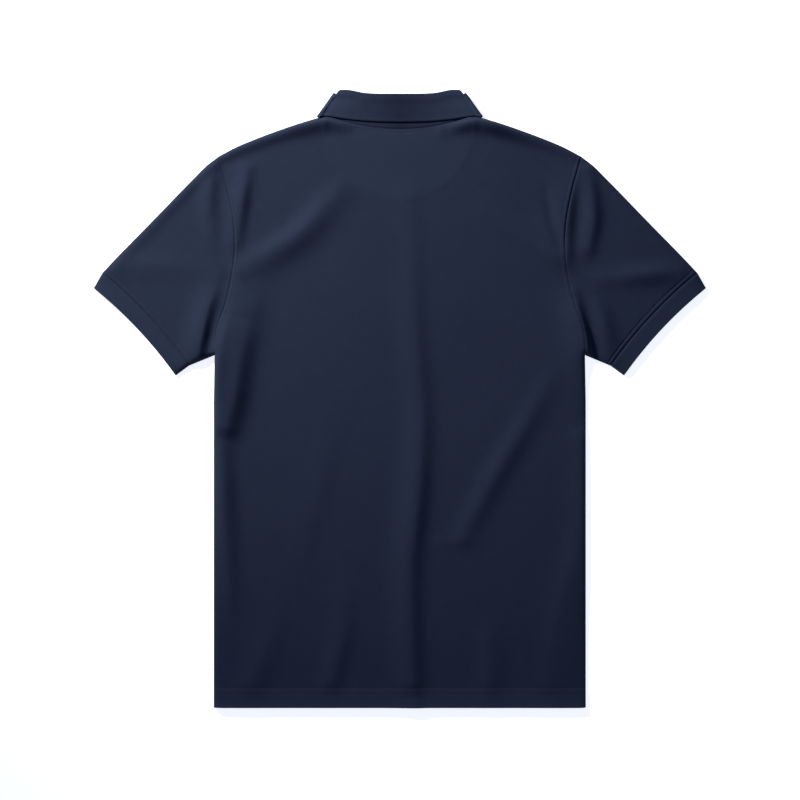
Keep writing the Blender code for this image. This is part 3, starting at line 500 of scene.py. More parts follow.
def back_relief(x, y):
    inside = moon_inside(x, y)
    moon = MOON_STEP * smooth(inside / MOON_STEP_WIDTH + 0.5)
    return hem_relief(x, y) + neck_relief(x, y) + moon


def round_share(distance, radius):
    """How far a turned edge has risen to its full height, at a distance from the edge."""
    return np.sqrt(1 - np.clip(1 - distance / radius, 0, 1) ** 2)


def edge_radius(thick):
    return thick + GAP / 2


def upper_face(x, y, thick=CLOTH, relief=None):
    """Top of the upper layer, with the edges turned down to the middle of the two layers."""
    x, y = np.asarray(x, float), np.asarray(y, float)
    distance = edge_distance(x, y)
    low = lower_face(x, y)
    bridge = HUMP * (1 - smooth(hump_distance(x, y) / SOFT_HUMP_REACH)) - low
    above = y - HEM_Y
    lift = HEM_LIFT * np.clip(1 - above / HEM_LIFT_REACH, 0, 1) ** 2
    kept = HEM_FOLD_SHARE + (1 - HEM_FOLD_SHARE) * smooth(above / HEM_DEPTH - 0.5)
    inside = 1 - np.exp(-distance / FOLD_REACH)
    reach = LOFT_REACH + (SIDE_REACH - LOFT_REACH) * smooth((2 * UNDERARM[1] - y) / UNDERARM[1])
    rise = (1 - np.exp(-distance / reach)) * (LOFT + bridge + lift)
    rise = rise + inside * kept * fold_height(x, y, BACK_FOLDS + SLEEVE_FOLDS)
    rise = (rise + np.sqrt(rise**2 + (LOFT_ROUND * inside) ** 2)) / 2
    share = round_share(distance, edge_radius(thick))
    sewn = seams(x, y) * (1 - np.exp(-distance / SEAM_REACH))
    detail = sewn + top_roll(x, y) + (relief(x, y) if relief else 0)
    return low + edge_radius(thick) * (1 + share) + rise + share * detail


def under_face(x, y, thick=CLOTH, relief=None):
    """Underside of the lower layer, with the edges turned up. Nothing stands out of it, into the surface."""
    x, y = np.asarray(x, float), np.asarray(y, float)
    distance = edge_distance(x, y)
    share = round_share(distance, edge_radius(thick))
    inside = 1 - np.exp(-distance / LOFT_REACH)
    detail = np.maximum(-seams(x, y), 0) + (relief(x, y) if relief else 0)
    folds = fold_height(x, y, FRONT_FOLDS)
    return lower_face(x, y) + edge_radius(thick) * (1 - share) + inside * folds + share * detail


# ---------------------------------------------------------------- how finely the pieces are divided

STEP = 0.0024  # between grid points on the back
FRONT_STEP = 0.0036
SLEEVE_STEP = 0.0020
CUFF_STEP = 0.0012
HEM_GRID = 0.0011  # between the rows of the hem, which go on past it a little
HEM_GRID_PAST = 0.0040
SLOT_COLUMNS = 5  # from the middle to the side of the placket's slot
MOON_CELLS = (72, 36)  # across the patch and down it
STRIP_STEP = 0.0020
STRIP_ROWS = 64
EDGE_TURNS = 5  # grid cells over a turned edge
EDGE_MORE = 6  # and from there to the end of the edge zone
EDGE_GROWTH = 1.3
EDGE_ZONE = 0.0075
TOP_SPAN = 0.2  # levels above the placket's foot are counted as shares of this span
SLEEVE_LONG = 0.20  # the lengths that the grids of the sleeves and cuffs are divided for
CUFF_LONG = 0.16
NOSE_SHARE = 0.94  # how nearly the two faces of a free edge meet
SLIT = 0.0001  # between the back and the front at the side seams
SHARP = math.radians(50)
SLACK = 0.0001


def edge_steps(radius):
    """Distances in from an edge, close together where the cloth turns over it."""
    turn = radius * (1 - np.cos(np.linspace(0, math.pi / 2, EDGE_TURNS + 1)))
    more = radius + (EDGE_ZONE - radius) * (np.arange(1, EDGE_MORE + 1) / EDGE_MORE) ** EDGE_GROWTH
    return np.concatenate([turn, more])


def spread(start, end, step):
    """Even places from start to end, about a step apart."""
    return np.linspace(start, end, max(1, round(abs(end - start) / step)) + 1)


def up_to_edge(start, edge, step, radius):
    """Places from start to an edge, drawn together near it."""
    near = edge - math.copysign(1, edge - start) * edge_steps(radius)
    return np.concatenate([spread(start, near[-1], step), near[-2::-1]])


def between_edges(length, step, radius):
    """Shares from one edge to the other, drawn together near both."""
    half = up_to_edge(length / 2, length, step, radius)
    return np.concatenate([length - half[::-1], half[1:]]) / length


# ---------------------------------------------------------------- making shells

Shell = namedtuple("Shell", "outer inner uv")


def new_piece(name, vertices, faces, uvs, material):
    """A mesh object with outward faces and a UV map in metres."""
    mesh = bpy.data.meshes.new(name)
    mesh.from_pydata(vertices, [], faces)
    places = mesh.uv_layers.new(name="cloth")
    places.data.foreach_set("uv", np.asarray(uvs, np.float32).ravel())
    bm = bmesh.new()
    bm.from_mesh(mesh)
    bmesh.ops.delete(bm, geom=[v for v in bm.verts if not v.link_faces], context="VERTS")
    if bm.calc_volume(signed=True) < 0:
        bmesh.ops.reverse_faces(bm, faces=bm.faces)
    bm.to_mesh(mesh)
    bm.free()
    mesh.shade_smooth()
    mesh.set_sharp_from_angle(angle=SHARP)
    piece = bpy.data.objects.new(name, mesh)
    mesh.materials.append(material)
    bpy.context.scene.collection.objects.link(piece)
    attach(piece, "root")
    return piece


def add_shell(name, node, shell, material, every=1, wraps=False, is_cut=None):
    """A closed shell in place of a solid, between an outer grid and an inner one.

    The inner grid has every nth row and column of the outer one. wraps closes the grid on itself across the
    columns. is_cut(row, column) leaves a block out.
    """
    wide = shell.outer.shape[1]
    rows, columns = shell.inner.shape[:2]
    blocks = columns if wraps else columns - 1
    offset = shell.outer.shape[0] * wide
    vertices = np.concatenate([shell.outer.reshape(-1, 3), shell.inner.reshape(-1, 3)])
    places = np.concatenate([shell.uv.reshape(-1, 2), shell.uv[::every, ::every].reshape(-1, 2)])
    faces = []

    def out(i, j):
        return i * wide + j % wide

    def inn(r, c):
        return offset + r * columns + c % columns

    def is_there(r, c):
        if wraps:
            c %= blocks
        return 0 <= r < rows - 1 and 0 <= c < blocks and not (is_cut and is_cut(r, c))

    for r in range(rows - 1):
        for c in range(blocks):
            if not is_there(r, c):
                continue
            i0, j0, i1, j1 = r * every, c * every, (r + 1) * every, (c + 1) * every
            faces += [
                (out(i, j), out(i, j + 1), out(i + 1, j + 1), out(i + 1, j))
                for i in range(i0, i1)
                for j in range(j0, j1)
            ]
            faces.append((inn(r + 1, c), inn(r + 1, c + 1), inn(r, c + 1), inn(r, c)))
            if not is_there(r - 1, c):
                faces.append((inn(r, c), inn(r, c + 1), *(out(i0, j) for j in range(j1, j0 - 1, -1))))
            if not is_there(r + 1, c):
                faces.append((inn(r + 1, c + 1), inn(r + 1, c), *(out(i1, j) for j in range(j0, j1 + 1))))
            if not is_there(r, c - 1):
                faces.append((inn(r + 1, c), inn(r, c), *(out(i, j0) for i in range(i0, i1 + 1))))
            if not is_there(r, c + 1):
                faces.append((inn(r, c + 1), inn(r + 1, c + 1), *(out(i, j1) for i in range(i1, i0 - 1, -1))))
    corners = np.concatenate([np.array(face) for face in faces])
    piece = new_piece(name, vertices, faces, places[corners], material)
    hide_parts(node)
    return piece


def with_height(plan, z):
    return np.concatenate([plan, z[..., None]], axis=-1)


def nose(distance, thick):
    """How much each face of a wall draws in at a free edge, so that the edge is round."""
    radius = thick / 2
    return NOSE_SHARE * radius * (1 - round_share(distance, radius))


def layer(plan, thick, is_top, relief=None, doubled=0.0, free=None):
    """Outer and inner points of one layer over plan positions.

    doubled is extra thickness on the inside, and free the distance from the layer's free edge.
    """
    x, y = plan[..., 0], plan[..., 1]
    up = 1 if is_top else -1
    radius = edge_radius(thick)
    outer_z = (upper_face if is_top else under_face)(x, y, thick, relief)
    distance = edge_distance(x, y)
    share = round_share(distance, radius)
    inner_z = outer_z - up * (thick + doubled) * share
    if free is not None:
        drawn = nose(free, thick + doubled) * share
        outer_z, inner_z = outer_z - up * drawn, inner_z + up * drawn
    shift = np.clip(radius - distance, 0, None) * thick / radius
    inner_plan = plan + inwards(x, y) * shift[..., None]
    return with_height(plan, outer_z), with_height(inner_plan, inner_z)


# ---------------------------------------------------------------- back and front panels


def half_width(y):
    """From the middle line to the side seam or the armhole, at a height on the body."""
    falling = armhole[::-1]
    return np.interp(y, [HEM_Y, SIDE_TOP, *falling[:, 1]], [BODY_HALF, BODY_HALF, *falling[:, 0]])


def panel_columns(neck_xs, step):
    right = [*neck_xs, *up_to_edge(NECK_POINT[0], SHOULDER_TIP[0], step, edge_radius(CLOTH))[1:]]
    return np.array([-x for x in reversed(right[1:])] + right)


def armhole_levels(step):
    """Levels from the underarm to the top edge, the last ones as shares of the span above the placket."""
    from_underarm = UNDERARM[1] + edge_steps(edge_radius(CLOTH))
    to_placket = spread(from_underarm[-1], PLACKET_Y, step)
    above = up_to_edge(PLACKET_Y, PLACKET_Y + TOP_SPAN, step, edge_radius(CLOTH))
    return np.concatenate([from_underarm[:-1], to_placket[:-1], above])


def panel_levels(step):
    """Levels from the hem to the top edge, an odd number, because the inner grid takes every other one."""
    hem = [edge_steps((CLOTH + HEM_TURN) / 2), spread(EDGE_ZONE, HEM_DEPTH + HEM_GRID_PAST, HEM_GRID)[1:]]
    hem = HEM_Y + np.concatenate(hem)
    body = spread(hem[-1], UNDERARM[1], step)
    above = armhole_levels(step)
    if (len(hem) + len(body) + len(above)) % 2 == 0:
        body = np.linspace(hem[-1], UNDERARM[1], len(body) + 1)
    return np.concatenate([hem[:-1], body[:-1], above])


def panel_plan(columns, levels, neck):
    """Plan positions of a body panel. Rows run level up to the placket's foot and then fan out to the top."""
    top_x = np.concatenate([neck[:, 0], shoulder[1:, 0]])
    top_y = np.concatenate([neck[:, 1], shoulder[1:, 1]])
    straight = NECK_POINT[0]
    x, level = np.meshgrid(columns, levels)
    top = np.interp(np.abs(x), top_x, top_y)
    y = np.minimum(level, PLACKET_Y) + np.maximum(level - PLACKET_Y, 0) * (top - PLACKET_Y) / TOP_SPAN
    edge = half_width(np.minimum(y, SHOULDER_TIP[1]))
    over = np.maximum(np.abs(x) - straight, 0) * (edge - straight) / (SHOULDER_TIP[0] - straight)
    plan = np.stack([np.sign(x) * (np.minimum(np.abs(x), straight) + over), y], axis=-1)
    return drawn_back(plan, edge)


def drawn_back(plan, edge):
    """Moves the armholes and the neck edge back by half a slit, and what is near them by less."""
    x, y = plan[..., 0], plan[..., 1]
    near = np.clip(1 - (edge - np.abs(x)) / EDGE_ZONE, 0, 1) * (y > UNDERARM[1] + SLACK)
    neck = np.abs(plan[-1, :, 0]) < NECK_POINT[0] - SLACK
    slope = np.gradient(plan[-1, :, 1], plan[-1, :, 0])
    normal = np.stack([-slope, np.ones_like(slope)], axis=-1) * neck[:, None]
    normal /= np.maximum(np.linalg.norm(normal, axis=1), SLACK)[:, None]
    below = np.clip(1 - (plan[-1, :, 1] - y) / EDGE_ZONE, 0, 1)
    moved = plan - normal[None] * below[..., None] * SEAM_SLIT / 2
    moved[..., 0] -= np.sign(x) * near * SEAM_SLIT / 2
    return moved


def hem_turn(y):
    """Extra thickness inside the turned-up hem."""
    return HEM_TURN * smooth((HEM_Y + HEM_DEPTH + HEM_TURN_STEP / 2 - y) / HEM_TURN_STEP)


def panel(columns, levels, neck, is_top, relief, every):
    plan = panel_plan(columns, levels, neck)
    y = plan[..., 1]
    outer, inner = layer(plan, CLOTH, is_top, relief, hem_turn(y), y - HEM_Y)
    lift = SLIT / 2 if is_top else -SLIT / 2
    outer[..., 2] += lift
    inner[..., 2] += lift
    return Shell(outer, inner[::every, ::every], plan)


def make_back(material):
    columns = panel_columns(spread(0, NECK_POINT[0], STEP), STEP)
    shell = panel(columns, panel_levels(STEP), back_neck, True, back_relief, 2)
    return add_shell("back_panel", "back", shell, material, every=2)


def front_stitch_rows(x, y):
    """Troughs that the stitches of the front lie in: the hem's two rows and one beside each armhole."""
    rows = [y - HEM_Y - row for row in HEM_ROWS]
    rows += [from_line(x, y, armhole_line(side, TROUGH_POINTS))[0] for side in (1, -1)]
    return STITCH_SINK * sum(bell(distance / STITCH_DIP_WIDTH) for distance in rows)


def front_neck_places(step):
    """Places across the front neckline, even along the curve, with one at the placket's slot."""
    slot = PLACKET_HALF + GAP
    along = lengths(front_neck)
    start = np.interp(slot, front_neck[:, 0], along)
    rest = np.interp(spread(start, along[-1], step), along, front_neck[:, 0])
    return [*np.linspace(0, slot, SLOT_COLUMNS), *rest[1:-1], NECK_POINT[0]]


def make_front(material):
    columns = panel_columns(front_neck_places(FRONT_STEP), FRONT_STEP)
    shell = panel(columns, panel_levels(FRONT_STEP), front_neck, False, front_stitch_rows, 1)
    middle = (shell.uv[:, :-1] + shell.uv[:, 1:]) / 2

    def in_slot(r, c):
        return shell.uv[r, c, 1] > PLACKET_Y - SLACK and abs(middle[r, c, 0]) < PLACKET_HALF

    return add_shell("front_panel", "front", shell, material, is_cut=in_slot)


# ---------------------------------------------------------------- sleeves and cuffs


def patch(first, last, top, foot, s, t):
    """Plan positions between four curves: first and last run across the sleeve, top and foot along it."""
    s, t = s[:, None, None], t[None, :, None]
    corners = (1 - s) * ((1 - t) * first[0] + t * first[-1]) + s * ((1 - t) * last[0] + t * last[-1])
    return (1 - s) * first[None] + s * last[None] + (1 - t) * top[:, None] + t * foot[:, None] - corners


def moved_off(curve, towards):
    """A curve moved half a slit off its seam, to the side where towards lies."""
    moved = [beside(curve, side * SEAM_SLIT / 2) for side in (1, -1)]
    return min(moved, key=lambda line: np.linalg.norm(line.mean(axis=0) - towards))


def add_tube(name, node, plan, thick, side, material, free=None):
    """A flattened tube over plan positions, its upper layer from edge to edge and the lower one back.

    Its knit runs along the cuff seam.
    """
    upper, lower = (layer(plan, thick, is_top, free=free) for is_top in (True, False))
    outer, inner = (np.concatenate([up, low[:, -2:0:-1]], axis=1) for up, low in zip(upper, lower))
    way = mirrored(CUFF_FOOT, side) - mirrored(CUFF_TOP, side)
    way /= np.linalg.norm(way)
    uv = np.stack([outer[..., :2] @ way, outer[..., :2] @ np.array([-way[1], way[0]])], axis=-1)
    return add_shell(name, node, Shell(outer, inner, uv), material, wraps=True)


def make_sleeve(name, node, side, material):
    levels = armhole_levels(SLEEVE_STEP)
    above = PLACKET_Y + (levels - PLACKET_Y) * (SHOULDER_TIP[1] - PLACKET_Y) / TOP_SPAN
    y = np.where(levels > PLACKET_Y, above, levels)[::-1]
    seam = np.stack([half_width(y), y], axis=-1)
    t = lengths(seam)
    t /= t[-1]
    s = between_edges(SLEEVE_LONG, SLEEVE_STEP, edge_radius(CLOTH))
    first = moved_off(seam, CUFF_TIP)
    last = moved_off(bowed(CUFF_TOP, CUFF_FOOT, CUFF_BOW, t), SHOULDER_TIP)
    top = through(SLEEVE_LINE, s)
    foot = through((UNDERARM, CUFF_FOOT), s)
    top[0], top[-1], foot[0], foot[-1] = first[0], last[0], first[-1], last[-1]
    plan = patch(first, last, top, foot, s, t) * [side, 1]
    return add_tube(name, node, plan, CLOTH, side, material)


def make_cuff(name, node, side, material):
    t = between_edges(CUFF_LONG, SLEEVE_STEP, edge_radius(RIB))
    first = moved_off(bowed(CUFF_TOP, CUFF_FOOT, CUFF_BOW, t), CUFF_TIP)
    last = bowed(CUFF_TIP, CUFF_CORNER, CUFF_BOW, t)
    deep = np.linalg.norm(last - first, axis=1).mean()
    s = up_to_edge(0, deep, CUFF_STEP, RIB / 2) / deep
    top = through((first[0], CUFF_TIP), s)
    foot = through((first[-1], CUFF_CORNER), s)
    plan = patch(first, last, top, foot, s, t) * [side, 1]
    free = np.broadcast_to(((1 - s) * deep)[:, None], plan.shape[:2])
    return add_tube(name, node, plan, RIB, side, material, free)


# ---------------------------------------------------------------- collar

NECK_CELLS = 44  # half the back neck
LEAF_CELLS = 34  # half the front neck
CREASE_CELLS = 12  # the turn over each shoulder
STAND_CELLS = 14
NOSE_CELLS = 12
EDGE_ROLL = Ridge(0.00050, 0.0020, 0.0013)  # the knitted edge is thicker
FALL_SAG = 0.00050  # the middle of the fall lies this much lower
FOLD_ROLL = Ridge(0.00070, 0.0055, 0.0042)  # the cloth stands up just below the top fold
FALL_DEEP = 0.036
FALL_STEP = 0.0013
STAND_DIP = 0.0013  # the stand dips to the neck seam
STAND_DIP_SHARE = 0.06
STAND_CLOSER = 1.6  # the stand's grid draws together towards the seam by this power
NECK_TUCK = 0.00045  # the stand starts that far inside the neck seam, under the back's edge
NECK_TUCK_END = 0.0100
NECK_IN = 0.018  # the loft under the collar is the one this far from a closed edge

front_core = HUMP + CLOTH / 2 + STAND_RISE - LEAF_SINK
back_loft = (1 - math.exp(-NECK_IN / LOFT_REACH)) * LOFT
back_core = HUMP + 2 * edge_radius(CLOTH) + back_loft - CLOTH / 2 - STAND_RISE


def collar_section(seam, fold, edge, core, lean, inside):
    """One section across the strip. lean turns its outer side from up, at the back, to down, at the front.

    The back of the collar rises over the roll along the shoulders.
    """
    deep = np.linalg.norm(edge - fold)
    beyond = (fold - seam) / np.linalg.norm(fold - seam) + (fold - edge) / deep
    beyond /= np.linalg.norm(beyond)
    out = np.array([beyond[1] * math.sin(lean), -beyond[0] * math.sin(lean), math.cos(lean)])
    half = COLLAR / 2 * (1 if inside else -1)
    facing_up = max(math.cos(lean), 0)

    def along(start, end, t, rise):
        plan = start + (end - start) * t[:, None]
        return np.concatenate([plan, np.full((len(t), 1), core)], axis=1) + out * rise[:, None]

    t = np.linspace(0, 1, STAND_CELLS + 1) ** STAND_CLOSER
    dip = STAND_DIP * (1 - smooth(t / STAND_DIP_SHARE)) * facing_up
    stand = along(seam, fold, t, STAND_RISE + half - dip)
    turn = math.pi * np.arange(1, NOSE_CELLS)[:, None] / NOSE_CELLS
    radius = (FALL_RISE - STAND_RISE) / 2 - half
    middle = np.array([*fold, core]) + out * (STAND_RISE + FALL_RISE) / 2
    bend = middle - out * radius * np.cos(turn) + np.array([*beyond, 0.0]) * radius * np.sin(turn)
    t = up_to_edge(0, 1, FALL_STEP / FALL_DEEP, COLLAR / 2 / FALL_DEEP)
    from_edge = (1 - t) * deep
    roll = ridge(from_edge, EDGE_ROLL) * (0 if inside else facing_up)
    sag = FALL_SAG * np.sin(math.pi * t) * facing_up
    drawn = nose(from_edge, COLLAR) * (-1 if inside else 1)
    raised = ridge(t * deep, FOLD_ROLL) * facing_up
    fall = along(fold, edge, t, FALL_RISE - half + roll + raised - sag - drawn)
    section = np.concatenate([stand, bend, fall])
    at_seam, at_edge = top_roll(*np.stack([seam, edge], axis=-1))
    ends = (len(stand), len(stand) + len(bend))
    lift = np.interp(np.arange(len(section)), ends, (at_seam, max(at_seam, at_edge)))
    share = smooth((COLLAR_LIFT[0] - section[:, 1]) / (COLLAR_LIFT[0] - COLLAR_LIFT[1]))
    section[:, 2] += facing_up * share * lift
    return section


def half_collar():
    """Sections of the right half, from centre back round to centre front: lines, core height and lean."""
    places = np.linspace(0, NECK_POINT[0], NECK_CELLS + 1)
    tucked = smooth((NECK_POINT[0] - places) / NECK_TUCK_END)
    away = SEAM_SLIT / 2 - (SEAM_SLIT / 2 + NECK_TUCK) * tucked
    seam_back = beside(at_x(places, back_neck), away)
    seam_back[0, 0] = 0.0
    fold_back = through(FOLD_BACK, len(places))
    fall_back = through(FALL_BACK, len(places))
    along = lengths(front_neck)
    start = np.interp(STAND_END, front_neck[:, 0], along)
    places = np.interp(np.linspace(start, along[-1], LEAF_CELLS + 1), along, front_neck[:, 0])
    seam_front = beside(at_x(places, front_neck), SEAM_SLIT / 2)[::-1]
    fold_front = pulled(FOLD_BACK[-1], FOLD_FRONT_PULL, FOLD_FRONT_END, len(places))
    fall_front = pulled(LEAF_SIDE, FALL_FRONT_PULL, LEAF_TIP, len(places))
    corner = (seam_back[-1] + seam_front[0]) / 2
    sections = []
    for k in range(NECK_CELLS):
        core = front_core + (back_core - front_core) * (1 - (seam_back[k, 0] / NECK_POINT[0]) ** 2)
        sections.append((seam_back[k], fold_back[k], fall_back[k], core, 0.0))
    for k in range(CREASE_CELLS + 1):
        sections.append((corner, fold_back[-1], fall_back[-1], front_core, math.pi * k / CREASE_CELLS))
    for k in range(1, len(places)):
        sections.append((seam_front[k], fold_front[k], fall_front[k], front_core, math.pi))
    return sections


def make_collar(material):
    grids = []
    for inside in (False, True):
        right = np.array([collar_section(*section, inside) for section in half_collar()])
        left = (right * [-1, 1, 1])[:0:-1]
        grids.append(np.concatenate([left, right]))
    outer, inner = grids
    fold_row = STAND_CELLS + NOSE_CELLS // 2
    around = lengths(outer[:, fold_row])
    around -= around[-1] / 2
    across = np.array([lengths(section) for section in outer])
    uv = np.stack([np.broadcast_to(around[:, None], across.shape), across], axis=-1)
    return add_shell("collar_knit", "collar", Shell(outer, inner, uv), material)


# ---------------------------------------------------------------- half-moon patch and placket


def moon_arc(radius, turn):
    """Points on a circle about the patch's centre, turned from straight down."""
    return np.stack([radius * np.sin(turn), MOON_CENTRE_Y - radius * np.cos(turn)], axis=-1)


def make_half_moon(material):
    """The neck patch lies against the inside of the back."""
    across, down = (np.linspace(low, 1, cells + 1) for low, cells in zip((-1, 0), MOON_CELLS))
    head = at_x(MOON_TOP_HALF * across, back_neck) - [0, GAP / 2]
    t = down[:, None, None]
    plan = head * (1 - t) + moon_arc(MOON_RADIUS, MOON_SWEEP * across) * t
    top = upper_face(plan[..., 0], plan[..., 1], relief=back_relief) - CLOTH - GAP
    shell = Shell(with_height(plan, top), with_height(plan, top - PATCH), plan)
    return add_shell("neck_patch", "half_moon", shell, material)


def make_strip(name, node, rise, thick, material):
    """A placket strip in the front's slash, from its foot up to the neck seam, with folded long edges."""
    foot = PLACKET_Y + GAP
    right = up_to_edge(0, PLACKET_HALF, STRIP_STEP, thick / 2)
    xs = np.concatenate([-right[:0:-1], right])
    head = at_x(xs, front_neck)[:, 1] - GAP / 2
    t = np.linspace(0, 1, STRIP_ROWS)[:, None]
    plan = np.stack([np.broadcast_to(xs, (len(t), len(xs))), foot + t * (head - foot)], axis=-1)
    low = lower_face(plan[..., 0], plan[..., 1]) + rise
    drawn = nose(PLACKET_HALF - np.abs(plan[..., 0]), thick)
    shell = Shell(with_height(plan, low + drawn), with_height(plan, low + thick - drawn), plan)
    return add_shell(name, node, shell, material)


# ---------------------------------------------------------------- stitches

STITCH_LENGTH = 0.0026
STITCH_PITCH = 0.0031
THREAD = 0.00022  # half the thickness of a stitch
THREAD_LIFT = 0.6  # a stitch lies this many of those above its line
MOON_STITCH_SINK = 0.00030  # the stitches round the patch are drawn deeper into the cloth
MOON_STITCH_IN = 0.0020  # and lie this far inside its rim
HEM_STITCH_END = 0.0040  # the hem's rows stop this far from the side seams
STITCH_SIDES = 6
# Rings of a stitch: place in shares of its length, thickness, and height in drops.
STITCH_RINGS = ((-0.5, 0.25, -1), (-0.36, 0.85, -0.35), (0, 1, 0), (0.36, 0.85, -0.35), (0.5, 0.25, -1))
STITCH_DROP = 0.00030  # how far its ends go into the cloth
SEWN_POINTS = 300  # along a sewn line
LONG_SEWN_POINTS = 400  # and along the hem and the patch's rim

BUTTONS = (1, 2, 3)
PLACKET_MARGIN = 0.0025  # the placket's stitches lie this far from its edges
PLACKET_BOX = 0.0160
PLACKET_POINTS = 60
BUTTONHOLE = 0.0155
BUTTONHOLE_WIDTH = 0.0018
BUTTONHOLE_PITCH = 0.0007
BUTTONHOLE_STITCH = 0.00085
BUTTONHOLE_POINTS = 40
TACK_STEP = 0.0005  # between the two tacks across each end of a buttonhole
TACK_PITCH = 3.9  # in half widths of the buttonhole
TACK_LENGTH = 3.8
TACK_POINTS = 9
FINE_THREAD = 0.00015
UP, DOWN = (0, 0, 1), (0, 0, -1)


def stitch_row(line, up, pitch=STITCH_PITCH, length=STITCH_LENGTH, thread=THREAD):
    """Vertices of the stitches along a line of points on the cloth: one ring after another for each."""
    along = lengths(line)
    centres = np.arange(pitch / 2, along[-1] - pitch / 2 + SLACK, pitch)

    def at(places):
        return np.stack([np.interp(places, along, line[:, k]) for k in range(3)], axis=-1)

    start, end = at(centres - length / 2), at(centres + length / 2)
    way = (end - start) / np.linalg.norm(end - start, axis=1)[:, None]
    up = np.broadcast_to(np.array(up, float), way.shape)
    side = np.cross(up, way)
    side /= np.linalg.norm(side, axis=1)[:, None]
    up = np.cross(way, side)
    rings = []
    for share, wide, dip in STITCH_RINGS:
        middle = (start + end) / 2 + way * share * length + up * (thread * THREAD_LIFT + dip * STITCH_DROP)
        for k in range(STITCH_SIDES):
            turn = 2 * math.pi * k / STITCH_SIDES
            rings.append(middle + wide * thread * (side * math.cos(turn) + up * math.sin(turn)))
    return np.stack(rings, axis=1)


def add_stitching(name, rows, material):
    """One piece of all the stitches in some rows."""
    vertices = np.concatenate(rows)
    count, each = vertices.shape[:2]
    template = []
    for ring in range(len(STITCH_RINGS) - 1):
        for k in range(STITCH_SIDES):
            a, b = ring * STITCH_SIDES + k, ring * STITCH_SIDES + (k + 1) % STITCH_SIDES
            template.append((a, b, b + STITCH_SIDES, a + STITCH_SIDES))
    template.append(tuple(range(STITCH_SIDES - 1, -1, -1)))
    template.append(tuple(range(each - STITCH_SIDES, each)))
    faces = [tuple(n * each + v for v in face) for n in range(count) for face in template]
    along = np.array([ring[0] for ring in STITCH_RINGS for _ in range(STITCH_SIDES)]) * STITCH_LENGTH
    round_it = np.tile(np.arange(STITCH_SIDES) / STITCH_SIDES * 2 * math.pi * THREAD, len(STITCH_RINGS))
    places = np.tile(np.stack([round_it, along], axis=-1), (count, 1))
    corners = np.concatenate([np.array(face) for face in faces])
    return new_piece(name, vertices.reshape(-1, 3), faces, places[corners], material)


def on_back(line, relief=back_relief):
    return with_height(line, upper_face(line[:, 0], line[:, 1], relief=relief))


def on_front(line, relief=front_stitch_rows):
    return with_height(line, under_face(line[:, 0], line[:, 1], relief=relief))


def hem_line(row):
    xs = np.linspace(-BODY_HALF + HEM_STITCH_END, BODY_HALF - HEM_STITCH_END, LONG_SEWN_POINTS)
    return np.stack([xs, np.full(len(xs), HEM_Y + row)], axis=-1)


def armhole_line(side, count=SEWN_POINTS):
    """Topstitch on the body's side of an armhole, short of both its ends."""
    return through(beside(mirrored(armhole, side), -side * STITCH_AT)[2:-3], count)


def back_stitches():
    rows = [stitch_row(on_back(hem_line(row)), UP) for row in HEM_ROWS]
    rows += [stitch_row(on_back(armhole_line(side)), UP) for side in (1, -1)]
    neck = beside(whole_back_neck, -NECK_STITCH_AT)[4:-4]
    rows.append(stitch_row(on_back(through(neck, SEWN_POINTS)), UP))
    moon = moon_arc(MOON_RADIUS - MOON_STITCH_IN, np.linspace(-MOON_SWEEP, MOON_SWEEP, LONG_SEWN_POINTS))
    rows.append(stitch_row(on_back(moon) - [0, 0, MOON_STITCH_SINK], UP))
    return rows


def front_stitches():
    rows = [stitch_row(on_front(hem_line(row)), DOWN) for row in HEM_ROWS]
    rows += [stitch_row(on_front(armhole_line(side)), DOWN) for side in (1, -1)]
    for side in (1, -1):
        neck = beside(mirrored(front_neck, side), -side * NECK_STITCH_AT)
        clear = neck[np.abs(neck[:, 0]) > PLACKET_HALF + NECK_STITCH_AT / 2]
        rows.append(stitch_row(on_front(through(clear[:-4], SEWN_POINTS)), DOWN))
    return rows


def on_placket(line):
    """A line on the face of the outer strip."""
    return with_height(line, lower_face(line[:, 0], line[:, 1]) + CLOTH - STRIP)


def placket_stitches():
    """Both long edges, a box at the foot, and the buttonholes, which show above and below the buttons."""

    def sewn(start, end, points, **stitch):
        return stitch_row(on_placket(np.linspace(start, end, points)), DOWN, **stitch)

    edge, foot = PLACKET_HALF - PLACKET_MARGIN, PLACKET_Y + PLACKET_MARGIN
    head = FRONT_NECK_Y - NECK_STITCH_AT
    rows = [sewn((side * edge, foot), (side * edge, head), PLACKET_POINTS) for side in (1, -1)]
    rows += [sewn((-edge, y), (edge, y), PLACKET_POINTS) for y in (foot, foot + PLACKET_BOX)]
    wide = BUTTONHOLE_WIDTH / 2
    bar = {"pitch": BUTTONHOLE_PITCH, "length": BUTTONHOLE_STITCH, "thread": FINE_THREAD}
    tack = {"pitch": TACK_PITCH * wide, "length": TACK_LENGTH * wide, "thread": FINE_THREAD}
    for number in BUTTONS:
        low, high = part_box(f"button_{number}")
        middle = (low[1] + high[1]) / 2
        top, bottom = middle + BUTTONHOLE / 2, middle - BUTTONHOLE / 2
        rows += [sewn((x, bottom), (x, top), BUTTONHOLE_POINTS, **bar) for x in (-wide, wide)]
        ys = (bottom, bottom - TACK_STEP, top, top + TACK_STEP)
        rows += [sewn((-2 * wide, y), (2 * wide, y), TACK_POINTS, **tack) for y in ys]
    return rows


def cuff_stitches(side):
    """Topstitch on the sleeve's side of the cuff seam."""
    line = through(beside(mirrored(cuff_seam, side), -side * STITCH_AT)[1:-2], SEWN_POINTS)
    return [stitch_row(on_back(line, None), UP), stitch_row(on_front(line, None), DOWN)]


# ---------------------------------------------------------------- materials

